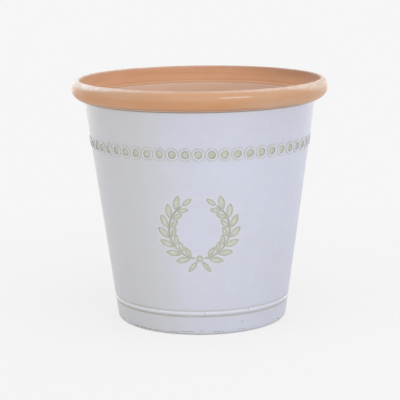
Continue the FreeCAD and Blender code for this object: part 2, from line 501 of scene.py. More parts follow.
# Lighter copy of the bare clay for the rim's inside face: painted light that makes up for the
# dimmer light inside.
LIGHTENED_INNER_CLAY = BareClay(
    "lightened_inner_clay", clay=(0.630, 0.318, 0.174), light_clay=(0.650, 0.340, 0.195))
LIMED_CLAY = BareClay(
    "limed_clay", bloom=(0.820, 0.605, 0.470), least_bloom=0.85, dust=0.0)


# Pieces


class Piece:
    """One closed piece while its surface is laid down, in millimetres."""

    def __init__(self, name: str, node: str) -> None:
        """Starts an empty piece.

        Args:
            name: Name of the piece.
            node: CAD node that it stands for.
        """
        self.name = name
        self.node = node
        self.count = 0
        self.points: list[Array] = []
        self.faces: list[tuple[int, ...]] = []
        self.coats: list[int] = []
        self.traits: dict[Trait, list[Array]] = {trait: [] for trait in Trait}

    def add(self, points: Array, faces: Iterable[Sequence[int]],
            traits: dict[Trait, Array] | None = None, coat: Coat = Coat.OUTER) -> None:
        """Adds a patch of surface; patches with equal border points grow together.

        Args:
            points: Places, with x, y and z along the last axis.
            faces: Corners of each face, as places in the flattened points.
            traits: Values of the traits at the points.
            coat: Finish of the faces.
        """
        flat = points.reshape(-1, 3)
        fresh = [tuple(self.count + int(corner) for corner in face) for face in faces]
        self.faces.extend(fresh)
        self.coats.extend([coat.value] * len(fresh))
        for trait, layers in self.traits.items():
            values = (traits or {}).get(trait, 0.0)
            layers.append(np.broadcast_to(values, points.shape[:-1]).reshape(-1).astype(float))
        self.points.append(flat)
        self.count += len(flat)

    def add_grid(self, points: Array, traits: dict[Trait, Array] | None = None,
                 coat: Coat = Coat.OUTER, wrap_rows: bool = False, wrap_columns: bool = True,
                 caps: bool = False) -> None:
        """Adds a patch of surface from rows and columns of points.

        Args:
            points: Places by row and column.
            traits: Values of the traits by row and column.
            coat: Finish of the faces.
            wrap_rows: Joins the last row to the first.
            wrap_columns: Joins the last column to the first.
            caps: Closes the first and the last row with a face each.
        """
        rows, columns = points.shape[:2]
        index = np.arange(rows * columns).reshape(rows, columns)
        if wrap_rows:
            index = np.vstack([index, index[:1]])
        if wrap_columns:
            index = np.hstack([index, index[:, :1]])
        corners = [index[:-1, :-1], index[:-1, 1:], index[1:, 1:], index[1:, :-1]]
        faces = np.stack(corners, axis=-1).reshape(-1, 4).tolist()
        if caps:
            faces += [list(range(columns)), list(range((rows - 1) * columns, rows * columns))]
        self.add(points, faces, traits, coat)

    def add_two_coats(self, points: Array, traits: dict[Trait, Array], border: int) -> None:
        """Adds a closed turned section with the outer coat up to a row and the inner one after it.

        Args:
            points: Places by section point and column.
            traits: Values of the traits by section point and column.
            border: Row where the outer coat ends.
        """
        rows = np.arange(len(points) + 1) % len(points)
        for part, coat in ((rows[:border + 1], Coat.OUTER), (rows[border:], Coat.INNER)):
            here = {trait: values[part] for trait, values in traits.items()}
            self.add_grid(points[part], here, coat)

    def welded(self) -> tuple[Array, list[tuple[int, ...]], list[int], Array]:
        """Joins points that lie in one place and drops faces that vanish by it.

        Returns:
            Points, faces, their coats, and which of the laid points were kept.
        """
        points = np.concatenate(self.points)
        keys = np.round(points * WELDS_PER_MM).astype(np.int64)
        _, kept, place = np.unique(keys, axis=0, return_index=True, return_inverse=True)
        place = place.reshape(-1)
        faces, coats = [], []
        for face, coat in zip(self.faces, self.coats):
            joined = [int(place[corner]) for corner in face]
            pairs = zip(joined, joined[-1:] + joined)
            corners = tuple(corner for corner, before in pairs if corner != before)
            if len(corners) > 2:
                faces.append(corners)
                coats.append(coat)
        return points[kept], faces, coats, kept

    def make(self, finishes: Sequence[bpy.types.Material], slot: Slot) -> bpy.types.Object:
        """Makes the object and hangs it on the frame in place of its CAD node.

        Args:
            finishes: Materials, in the order of the coats.
            slot: Finish slot of the record; not used.

        Returns:
            The new object.
        """
        points, faces, coats, kept = self.welded()
        mesh = bpy.data.meshes.new(self.name)
        mesh.from_pydata((points * MM).tolist(), [], faces)
        mesh.polygons.foreach_set("material_index", coats)
        for trait, layers in self.traits.items():
            values = np.concatenate(layers)[kept].astype(np.float32)
            mesh.attributes.new(trait.value, "FLOAT", "POINT").data.foreach_set("value", values)
        outward = bmesh.new()
        outward.from_mesh(mesh)
        bmesh.ops.recalc_face_normals(outward, faces=outward.faces)
        outward.to_mesh(mesh)
        outward.free()
        mesh.shade_smooth()
        mesh.set_sharp_from_angle(angle=SHARP_ANGLE)
        for finish in finishes:
            mesh.materials.append(finish)
        shown = bpy.data.objects.new(self.name, mesh)
        bpy.context.scene.collection.objects.link(shown)
        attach(shown, BODY)
        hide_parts(self.node)
        log.info("%s: %d points, %d faces, for %s", self.name, len(points), len(faces), self.node)
        return shown


@dataclass(frozen=True)
class PotForm:
    """Tapered outside of the pot, with the slight unevenness of a thrown wall."""

    height: float = 344.0
    base_radius: float = 120.8
    shoulder_radius: float = 163.4
    shoulder_height: float = 315.6
    wall_thickness: float = 12.0
    ledge_height: float = 323.4
    rim_seat_width: float = 5.0
    seam_height: float = 31.7
    swells: tuple[Swell, ...] = (
        Swell(0.22, 2, 0.7), Swell(0.132, 3, 2.1, 1 / 95.0), Swell(0.077, 7, 0.0, -1 / 38.0),
    )

    def outside(self, height: Array | float) -> Array | float:
        """Radius of the painted outside at a height."""
        taper = (self.shoulder_radius - self.base_radius) * height / self.shoulder_height
        return self.base_radius + taper

    def inside(self, height: Array | float) -> Array | float:
        """Radius of the bare inside at a height."""
        return self.outside(height) - self.wall_thickness

    def place(self, angle: Array, radius: Array, height: Array) -> Array:
        """Places on or in the thrown clay.

        Args:
            angle: Angle from the front, growing to the right.
            radius: Radius before the unevenness.
            height: Height above the floor.

        Returns:
            Places, with x, y and z along the last axis.
        """
        angle, radius, height = np.broadcast_arrays(angle, radius, height)
        reach = radius + swelling(self.swells, angle, height)
        return np.stack([reach * np.sin(angle), -reach * np.cos(angle), height], axis=-1)

    def on_outside(self, angle: Array, height: Array, offset: Array | float) -> Array:
        """Places at a distance out of the painted outside."""
        return self.place(angle, self.outside(height) + offset, height)

    def turn(self, section: Array, columns: int) -> tuple[Array, Array, Array]:
        """Spreads a section over a whole turn.

        Args:
            section: Radius and height of each point of the section.
            columns: Number of columns in the turn.

        Returns:
            Angle, radius and height of each point, by section point and column.
        """
        angle = np.arange(columns) * (TURN / columns)
        radius, height = section[:, :1], section[:, 1:]
        return np.broadcast_arrays(angle[None, :], radius, height)


def oval(centre: Flat, half_width: float, half_height: float, start: float, end: float,
         steps: int) -> Array:
    """Points along an arc of an oval.

    Args:
        centre: Middle of the oval.
        half_width: Half its width.
        half_height: Half its height.
        start: First angle, in degrees.
        end: Last angle, in degrees.
        steps: Number of steps.

    Returns:
        Points, one per row.
    """
    angle = np.radians(np.linspace(start, end, steps + 1))
    arc = np.stack([half_width * np.cos(angle), half_height * np.sin(angle)], axis=-1)
    return np.array(centre) + arc


def circle(centre: Flat, radius: float, steps: int) -> Array:
    """Points around a circle, each once."""
    return oval(centre, radius, radius, 0.0, 360.0, steps)[:-1]


def eased(steps: int) -> Array:
    """Values from -1 to 1 that lie closer together towards both ends."""
    return np.sin(np.linspace(-math.pi / 2, math.pi / 2, steps + 1))


def triangulated(points: Array, loops: Sequence[Sequence[int]]) -> tuple[Array, list[list[int]]]:
    """Fills the area inside closed lines with triangles.

    Args:
        points: Flat points.
        loops: Closed lines that stay edges, as places in points; the first is the border.

    Returns:
        Flat points, more where lines cross, and the triangles between them.
    """
    edges = [(int(start), int(end)) for loop in loops
             for start, end in zip(loop, [*loop[1:], loop[0]])]
    corners = [Vector(point) for point in points]
    made, _, faces, sources, _, _ = delaunay_2d_cdt(corners, edges, [], 1, SAME_POINT)
    flat = [points[source[0]] if source else np.array(point)
            for point, source in zip(made, sources)]
    return np.array(flat), faces


class FlatPlan:
    """Points and closed lines of a patch before it is filled with triangles."""

    def __init__(self) -> None:
        """Starts an empty plan."""
        self.points: list[Array] = []
        self.loops: list[list[int]] = []

    def loop(self, points: Array) -> None:
        """Adds a closed line.

        Args:
            points: Flat points along it.
        """
        start = len(self.points)
        self.points.extend(points)
        self.loops.append(list(range(start, len(self.points))))

    def border(self, across: Array, up: Array) -> None:
        """Adds the border of a patch with straight top and bottom.

        Args:
            across: Positions across, by level and column.
            up: Level of each row.
        """
        bottom = [(x, up[0]) for x in across[0]]
        right = [(row[-1], level) for row, level in zip(across[1:], up[1:])]
        top = [(x, up[-1]) for x in across[-1][-2::-1]]
        left = [(row[0], level) for row, level in zip(across[-2:0:-1], up[-2:0:-1])]
        self.loop(np.array(bottom + right + top + left))

    def fill(self) -> tuple[Array, list[list[int]]]:
        """Triangles of the whole plan, with their points."""
        return triangulated(np.array(self.points), self.loops)


# Leaf wreath


class Mark(ABC):
    """One shape pressed into the wall, drawn in the front view by x and height."""

    @abstractmethod
    def distance(self, flat: Array) -> Array:
        """Distance from the outline, below zero inside it.

        Args:
            flat: Points of the front view.

        Returns:
            Signed distances.
        """

    @abstractmethod
    def outline(self, offset: float) -> Array:
        """Outline grown by an offset.

        Args:
            offset: Distance outwards, below zero for a smaller outline.

        Returns:
            Points around the outline.
        """

    @abstractmethod
    def pad(self, inset: float) -> tuple[Array, bool]:
        """Rows of points across the shape.

        Args:
            inset: Distance of the rows' ends from the outline.

        Returns:
            Points by row and column, and whether the end rows are open and need a cap.
        """


@dataclass(frozen=True)
class LeafMark(Mark):
    """Pointed oval between two equal arcs."""

    root: Flat
    heading: Flat
    length: float
    width: float
    steps: int = 22
    columns: int = 9

    @property
    def arc_radius(self) -> float:
        """Radius of both arcs."""
        return (self.length ** 2 + self.width ** 2) / (4 * self.width)

    @property
    def arc_offset(self) -> float:
        """Distance of each arc's centre from the leaf's middle line."""
        return self.arc_radius - self.width / 2

    def local(self, along: Array, across: Array) -> Array:
        """Front-view points from distances along and across the leaf.

        Args:
            along: Distance from the leaf's middle towards its tip.
            across: Distance to the right of its middle line.

        Returns:
            Points of the front view.
        """
        ahead = np.array(self.heading)
        beside = np.array([self.heading[1], -self.heading[0]])
        middle = np.array(self.root) + ahead * (self.length / 2)
        return middle + along[..., None] * ahead + across[..., None] * beside

    def half_breadth(self, along: Array, offset: float) -> Array:
        """Half the breadth at distances from the middle, for an outline grown by an offset."""
        reach = np.sqrt(np.maximum((self.arc_radius + offset) ** 2 - along ** 2, 0.0))
        return np.maximum(reach - self.arc_offset, 0.0)

    def stations(self, offset: float) -> Array:
        """Distances from the middle at which an outline grown by an offset is drawn."""
        half_length = math.sqrt((self.arc_radius + offset) ** 2 - self.arc_offset ** 2)
        return half_length * eased(self.steps)

    def distance(self, flat: Array) -> Array:
        """Distance from the leaf's outline, below zero inside it.

        Args:
            flat: Points of the front view.

        Returns:
            Signed distances.
        """
        ways = np.array([-self.arc_offset, self.arc_offset])
        ends = self.local(np.zeros(2), ways)
        reach = [np.linalg.norm(flat - end, axis=-1) for end in ends]
        return np.maximum(*reach) - self.arc_radius

    def outline(self, offset: float) -> Array:
        """The leaf's outline grown by an offset.

        Args:
            offset: Distance outwards, below zero for a smaller outline.

        Returns:
            Points around the outline.
        """
        along = self.stations(offset)
        breadth = self.half_breadth(along, offset)
        there = self.local(along, breadth)
        back = self.local(along[-2:0:-1], -breadth[-2:0:-1])
        return np.concatenate([there, back])

    def pad(self, inset: float) -> tuple[Array, bool]:
        """Rows of points across the leaf.

        Args:
            inset: Distance of the rows' ends from the outline.

        Returns:
            Points by row and column, and that the end rows are closed.
        """
        along = self.stations(-inset)
        across = eased(self.columns - 1)
        breadth = self.half_breadth(along, -inset)
        rows = np.broadcast_to(along[:, None], (len(along), self.columns))
        return self.local(rows, breadth[:, None] * across), False


@dataclass(frozen=True)
class StemMark(Mark):
    """Narrow strip along the wreath's circle."""

    side: Side
    middle: Flat
    radius: float
    half_width: float
    start: float
    end: float
    steps: int = 56
    columns: int = 5

    def point(self, angle: Array, reach: Array) -> Array:
        """Front-view points by angle up from the wreath's foot and distance from its middle."""
        x = self.middle[0] + self.side.value * reach * np.sin(angle)
        return np.stack([x, self.middle[1] - reach * np.cos(angle)], axis=-1)

    def distance(self, flat: Array) -> Array:
        """Distance from the stem's outline, below zero inside it.

        Args:
            flat: Points of the front view.

        Returns:
            Signed distances.
        """
        x = self.side.value * (flat[..., 0] - self.middle[0])
        drop = self.middle[1] - flat[..., 1]
        angle = np.arctan2(x, drop)
        beside = np.abs(np.hypot(x, drop) - self.radius) - self.half_width
        beyond = np.maximum(self.start - angle, angle - self.end) * self.radius
        return np.maximum(beside, beyond)

    def outline(self, offset: float) -> Array:
        """The stem's outline grown by an offset.

        Args:
            offset: Distance outwards, below zero for a smaller outline.

        Returns:
            Points around the outline.
        """
        slack = offset / self.radius
        angle = np.linspace(self.start - slack, self.end + slack, self.steps + 1)
        half = self.half_width + offset
        inner = self.point(angle, np.full_like(angle, self.radius - half))
        outer = self.point(angle[::-1], np.full_like(angle, self.radius + half))
        return np.concatenate([inner, outer])

    def pad(self, inset: float) -> tuple[Array, bool]:
        """Rows of points across the stem.

        Args:
            inset: Distance of the rows' ends from the outline.

        Returns:
            Points by row and column, and that the end rows are open.
        """
        slack = inset / self.radius
        angle = np.linspace(self.start + slack, self.end - slack, self.steps + 1)[:, None]
        across = np.linspace(-1.0, 1.0, self.columns)[None, :] * (self.half_width - inset)
        return self.point(*np.broadcast_arrays(angle, self.radius + across)), True


@dataclass(frozen=True)
class KnotMark(Mark):
    """Round knot."""

    middle: Flat
    radius: float
    steps: int = 36
    columns: int = 9

    def distance(self, flat: Array) -> Array:
        """Distance of front-view points from the knot's outline, below zero inside it."""
        return np.linalg.norm(flat - np.array(self.middle), axis=-1) - self.radius

    def outline(self, offset: float) -> Array:
        """Points around the knot's outline grown by an offset."""
        return circle(self.middle, self.radius + offset, self.steps)

    def pad(self, inset: float) -> tuple[Array, bool]:
        """Rows of points across the knot.

        Args:
            inset: Distance of the rows' ends from the outline.

        Returns:
            Points by row and column, and that the end rows are closed.
        """
        reach = self.radius - inset
        along = reach * eased(self.steps // 2)
        half = np.sqrt(np.maximum(reach ** 2 - along ** 2, 0.0))
        across = half[:, None] * eased(self.columns - 1)
        rows = np.stack([across, np.broadcast_to(along[:, None], across.shape)], axis=-1)
        return rows + np.array(self.middle), False


@dataclass(frozen=True)
class Wreath:
    """Leaf wreath with a knot and two ribbon ends, impressed in the front and lined with slip."""

    form: PotForm
    middle_height: float = 153.05
    diameter: float = 82.0
    leaf_pairs: int = 7
    leaf_length: float = 20.0
    leaf_width: float = 8.2
    leaf_gap: float = 1.0
    leaf_tilt: float = math.radians(29.0)
    inner_leaf_share: float = 0.76
    inner_leaf_tilt: float = math.radians(38.0)
    first_leaf_angle: float = math.radians(17.0)
    last_leaf_angle: float = math.radians(131.0)
    stem_width: float = 2.0
    stem_start_angle: float = math.radians(10.0)
    stem_end_angle: float = math.radians(144.0)
    knot_diameter: float = 9.0
    ribbon_length: float = 19.0
    ribbon_width: float = 6.0
    ribbon_angle: float = math.radians(38.0)
    slip_depth: float = 0.7
    clearance: float = 0.1
    press: Curve = Curve((-0.65, -0.3, 0.0, 0.25, 0.7, 1.2), (-1.3, -1.05, -0.12, 0.12, 0.09, 0.0))
    dish: Curve = Curve((0.0, 0.3, 1.0, 2.2, 4.0), (0.04, 0.12, 0.0, -0.10, -0.12))
    gathered: Curve = Curve((0.0, 0.55, 1.3, 2.4), (1.0, 0.85, 0.30, 0.06))
    # More gathered slip, so darker, towards the top of each shape.
    upper_share: Curve = Curve((-8.0, 8.0), (0.75, 1.1))

    @property
    def depth(self) -> float:
        """Depth of the pressed shapes."""
        return -self.press.values[0]

    def point(self, side: Side, angle: float, offset: float) -> Array:
        """Front-view point by angle up one side from the wreath's foot and offset outward.

        Args:
            side: Half of the wreath.
            angle: Angle from the foot.
            offset: Distance outward from the wreath's circle.

        Returns:
            The point.
        """
        reach = self.diameter / 2 + offset
        x = side.value * reach * math.sin(angle)
        return np.array([x, self.middle_height - reach * math.cos(angle)])

    def heading(self, side: Side, angle: float, tilt: float) -> Array:
        """Direction up one side of the wreath, tilted outward."""
        return np.array([side.value * math.cos(angle - tilt), math.sin(angle - tilt)])

    def leaf(self, root: Array, heading: Array, share: float = 1.0) -> LeafMark:
        """Leaf from its root along its heading, at a share of the full size."""
        sizes = (self.leaf_length * share, self.leaf_width * share)
        return LeafMark(tuple(root), tuple(heading), *sizes)

    def leaves(self) -> list[Mark]:
        """All leaves, from the foot to the top of each side.

        Returns:
            The leaves.
        """
        marks: list[Mark] = []
        clear = self.stem_width / 2 + self.leaf_gap
        kinds = ((1, 1.0, self.leaf_tilt), (-1, self.inner_leaf_share, self.inner_leaf_tilt))
        for side in Side:
            for angle in np.linspace(self.first_leaf_angle, self.last_leaf_angle, self.leaf_pairs):
                for way, share, tilt in kinds:
                    root = self.point(side, angle, way * clear)
                    marks.append(self.leaf(root, self.heading(side, angle, way * tilt), share))
            heading = self.heading(side, self.stem_end_angle, 0.0)
            root = self.point(side, self.stem_end_angle, 0.0) + heading * clear
            marks.append(self.leaf(root, heading, self.inner_leaf_share))
        return marks

    def stems(self) -> list[Mark]:
        """The two curved stems.

        Returns:
            The stems.
        """
        middle = (0.0, self.middle_height)
        sizes = (self.diameter / 2, self.stem_width / 2)
        return [StemMark(side, middle, *sizes, self.stem_start_angle, self.stem_end_angle)
                for side in Side]

    def ribbon(self) -> list[Mark]:
        """The knot at the foot and its two ribbon ends.

        Returns:
            The knot and the ends.
        """
        foot = self.point(Side.RIGHT, 0.0, 0.0)
        marks: list[Mark] = [KnotMark(tuple(foot), self.knot_diameter / 2)]
        for side in Side:
            across = side.value * math.sin(self.ribbon_angle)
            heading = np.array([across, -math.cos(self.ribbon_angle)])
            root = foot + heading * (self.knot_diameter / 2 + self.leaf_gap)
            sizes = (self.ribbon_length, self.ribbon_width)
            marks.append(LeafMark(tuple(root), tuple(heading), *sizes))
        return marks

    def marks(self) -> list[Mark]:
        """All pressed shapes."""
        return self.leaves() + self.stems() + self.ribbon()

    def distance(self, flat: Array) -> Array:
        """Distance from the nearest pressed shape, below zero inside one."""
        return np.min([mark.distance(flat) for mark in self.marks()], axis=0)

    def angle(self, flat: Array) -> Array:
        """Angle around the pot of front-view points."""
        return np.arcsin(flat[..., 0] / self.form.outside(flat[..., 1]))

    def line(self, piece: Piece, marks: Iterable[Mark]) -> None:
        """Lays slip on the floors of pressed shapes.

        Args:
            piece: Piece that takes the slip.
            marks: Pressed shapes to line.
        """
        for mark in marks:
            flat, caps = mark.pad(self.clearance)
            edge = np.maximum(-mark.distance(flat) - self.clearance, 0.0)
            angle, height = self.angle(flat), flat[..., 1]
            level = self.slip_depth - self.depth + self.dish.at(edge)
            top = self.form.on_outside(angle, height, level)
            bottom = self.form.on_outside(angle, height, -self.depth)
            gathered = self.gathered.at(edge) * self.upper_share.at(height - height.mean())
            points = np.concatenate([top, bottom[:, ::-1]], axis=1)
            traits = {Trait.PATINA_AND_SHADE: np.concatenate([gathered, np.ones_like(gathered)], axis=1)}
            piece.add_grid(points, traits, caps=caps)

    def build(self, slip: bpy.types.Material) -> None:
        """Makes the slip in leaves, stems and ribbon.

        Args:
            slip: Finish of the slip.
        """
        groups = (("leaf_slip", "wreath_leaves", self.leaves()),
                  ("stem_slip", "wreath_stems", self.stems()),
                  ("ribbon_slip", "wreath_ribbon", self.ribbon()))
        for name, node, marks in groups:
            piece = Piece(name, node)
            self.line(piece, marks)
            piece.make([slip], Slot.SLIP)


# Ring band


@dataclass(frozen=True)
class RingBand:
    """Band of small applied rings, each around a pit with slip in it.

    disc holds the slip's section from the middle over the edge to the underside: share of the
    radius, rise over the slip's level, and how much slip has gathered there.
    """

    form: PotForm
    count: int = 55
    height: float = 257.4
    diameter: float = 16.1
    width: float = 2.7
    proud: float = 1.3
    slip_depth: float = 0.4
    clearance: float = 0.1
    half_band: float = 10.5
    cell_columns: int = 8
    cell_rows: int = 6
    seed: int = 11
    pit_edge: Curve = Curve((-0.25, -0.12, 0.0, 0.2), (-0.8, -0.62, -0.12, 0.0))
    pit_steps: int = 36
    bed_middle: float = 1.2
    bed_steps: int = 24
    skirt: float = 0.6
    skirt_steps: int = 30
    bed_stain: Curve = Curve((-1.1, 0.0, 0.4, 1.4), (1.0, 0.95, 0.42, 0.0))
    # Darker on the lower side of each ring's bed.
    bed_darker_below: Curve = Curve((-8.0, 8.0), (1.0, 0.7))
    ring_columns: int = 44
    ring_rows: int = 11
    ring_bed: Flat = (0.5, -0.1)
    size_play: float = 0.12
    phase_play: float = 3.0
    oval_play: float = 0.16
    bend_play: float = 0.10
    width_play: float = 0.08
    proud_play: float = 0.07
    ring_stain: Curve = Curve((0.55, 0.85, 1.0), (0.0, 0.35, 0.9))
    # Darker on the lower side of each ring.
    ring_darker_below: Curve = Curve((-1.0, 1.0), (1.0, 0.6))
    # Paler crest of each ring: paint worn thin, and a painted highlight.
    ring_crest_wear_and_highlight: Curve = Curve((0.5, 1.0), (0.0, 0.8))
    disc_columns: int = 36
    disc_play: Flat = (0.75, 1.15)
    disc: tuple[Triple, ...] = (
        (0.0, -0.06, 0.22), (0.28, -0.05, 0.24), (0.56, -0.03, 0.30), (0.76, 0.02, 0.45),
        (0.88, 0.09, 0.75), (0.95, 0.12, 0.95), (1.0, 0.05, 1.0), (1.0, -0.38, 1.0),
        (0.5, -0.4, 1.0), (0.0, -0.4, 1.0),
    )

    @property
    def pit_radius(self) -> float:
        """Radius of the pits and of the rings' holes."""
        return self.diameter / 2 - self.width

    @property
    def pit_depth(self) -> float:
        """Depth of the pits."""
        return -self.pit_edge.values[0]

    def spread(self, index: int, across: Array, up: Array, offset: Array) -> Array:
        """Places by distance right of and above the middle of a ring and out of the wall."""
        angle = index * TURN / self.count + across / self.form.outside(self.height)
        return self.form.on_outside(angle, self.height + up, offset)

    def cell(self) -> tuple[Array, list[list[int]]]:
        """Flat patch of wall around one ring.

        Returns:
            Points, by distance from the ring's middle, and triangles.
        """
        plan = FlatPlan()
        half = self.form.outside(self.height) * math.pi / self.count
        across = np.linspace(-half, half, self.cell_columns + 1)
        up = np.linspace(-self.half_band, self.half_band, self.cell_rows + 1)
        plan.border(np.broadcast_to(across, (len(up), len(across))), up)
        loops = [(grow, self.pit_steps) for grow in self.pit_edge.places]
        loops += [(self.bed_middle, self.bed_steps), (self.width, self.skirt_steps),
                  (self.width + self.skirt, self.skirt_steps)]
        for grow, steps in loops:
            plan.loop(circle((0.0, 0.0), self.pit_radius + grow, steps))
        return plan.fill()

    def pit_walls(self, piece: Piece) -> None:
        """Adds the wall's face in the band, with its pits.

        Args:
            piece: The wall.
        """
        flat, faces = self.cell()
        across, up = flat.T
        grow = np.hypot(across, up) - self.pit_radius
        offset = self.pit_edge.at(grow)
        darkening = self.bed_stain.at(grow - self.width) * self.bed_darker_below.at(up)
        for index in range(self.count):
            piece.add(self.spread(index, across, up, offset), faces, {Trait.PATINA_AND_SHADE: darkening})

    def rings(self) -> Piece:
        """Applied rings with a round back, each a little uneven.

        Returns:
            The piece, ready to make.
        """
        piece = Piece("clay_rings", "band_rings")
        draw = np.random.default_rng(self.seed)
        around = np.arange(self.ring_columns) * (TURN / self.ring_columns)
        back = oval((0.0, 0.0), 1.0, 1.0, 0.0, 180.0, self.ring_rows - 1)
        bed, below = self.ring_bed
        beside = np.concatenate([back[:, 0], [-bed, bed]])[:, None]
        rise = np.concatenate([back[:, 1], [below, below]])[:, None]
        darkening = self.ring_stain.at(np.abs(beside)) * self.ring_darker_below.at(np.sin(around))
        wear = np.broadcast_to(self.ring_crest_wear_and_highlight.at(rise), darkening.shape)
        traits = {Trait.PATINA_AND_SHADE: darkening, Trait.WEAR_AND_HIGHLIGHT: wear}
        for index in range(self.count):
            growth, squeeze, lean, phase = draw.uniform(-1.0, 1.0, 4)
            lean, phase = lean * self.phase_play, phase * self.phase_play
            waver = (self.oval_play * np.sin(2 * around + phase)
                     + self.bend_play * np.sin(3 * around + lean))
            middle = self.pit_radius + self.width / 2 + self.size_play * growth + waver
            half = self.width / 2 * (1.0 + self.width_play * np.sin(around + phase))
            drop = self.proud_play * (squeeze * np.sin(around + lean) - 1.0)
            reach = middle + half * beside
            proud = self.proud * (1.0 + drop) * rise
            points = self.spread(index, reach * np.cos(around), reach * np.sin(around), proud)
            piece.add_grid(points, traits, wrap_rows=True)
        return piece

    def centres(self) -> Piece:
        """Discs of slip in the pits.

        Returns:
            The piece, ready to make.
        """
        piece = Piece("ring_slip", "ring_centres")
        draw = np.random.default_rng(self.seed + 1)
        around = np.arange(self.disc_columns) * (TURN / self.disc_columns)
        share, rise, gathered = np.array(self.disc).T[:, :, None]
        reach = (self.pit_radius - self.clearance) * share
        offset = rise + self.slip_depth - self.pit_depth
        for index in range(self.count):
            amount = draw.uniform(*self.disc_play)
            points = self.spread(index, reach * np.cos(around), reach * np.sin(around), offset)
            patina = np.broadcast_to(gathered * amount, points.shape[:-1])
            piece.add_grid(points, {Trait.PATINA_AND_SHADE: patina})
        return piece

    def build(self, painted: bpy.types.Material, slip: bpy.types.Material) -> None:
        """Makes the rings and the slip inside them."""
        self.rings().make([painted], Slot.PAINTED)
        self.centres().make([slip], Slot.SLIP)


# Wall


@dataclass(frozen=True)
class BeadGroove:
    """Bed that the bead is keyed into, and the groove along each of its edges."""

    form: PotForm
    bead_height: float = 6.4
    key: float = 1.6
    width: float = 1.3
    depth: float = 0.9
    lip: tuple[Flat, ...] = ((0.0, -0.35), (0.15, -0.1), (0.5, 0.0))

    def bead_edge(self, edge: Edge) -> float:
        """Height of one edge of the bead."""
        return self.form.seam_height + edge.value * self.bead_height / 2

    def far_side(self, edge: Edge) -> float:
        """Height of the groove's side away from the bead."""
        return self.bead_edge(edge) + edge.value * self.width

    def section(self, edge: Edge, margin: float) -> list[Flat]:
        """Section from the seam past one edge of the bead to the painted face.

        Args:
            edge: Edge of the bead.
            margin: Breadth of the plain face that follows.

        Returns:
            Height and distance out of the wall of each point.
        """
        seam, bead, side = self.form.seam_height, self.bead_edge(edge), self.far_side(edge)
        bed = [(seam, -self.key), (bead, -self.key), (bead, -self.depth), (side, -self.depth)]
        face = (*self.lip, (margin, 0.0))
        return bed + [(side + edge.value * step, offset) for step, offset in face]


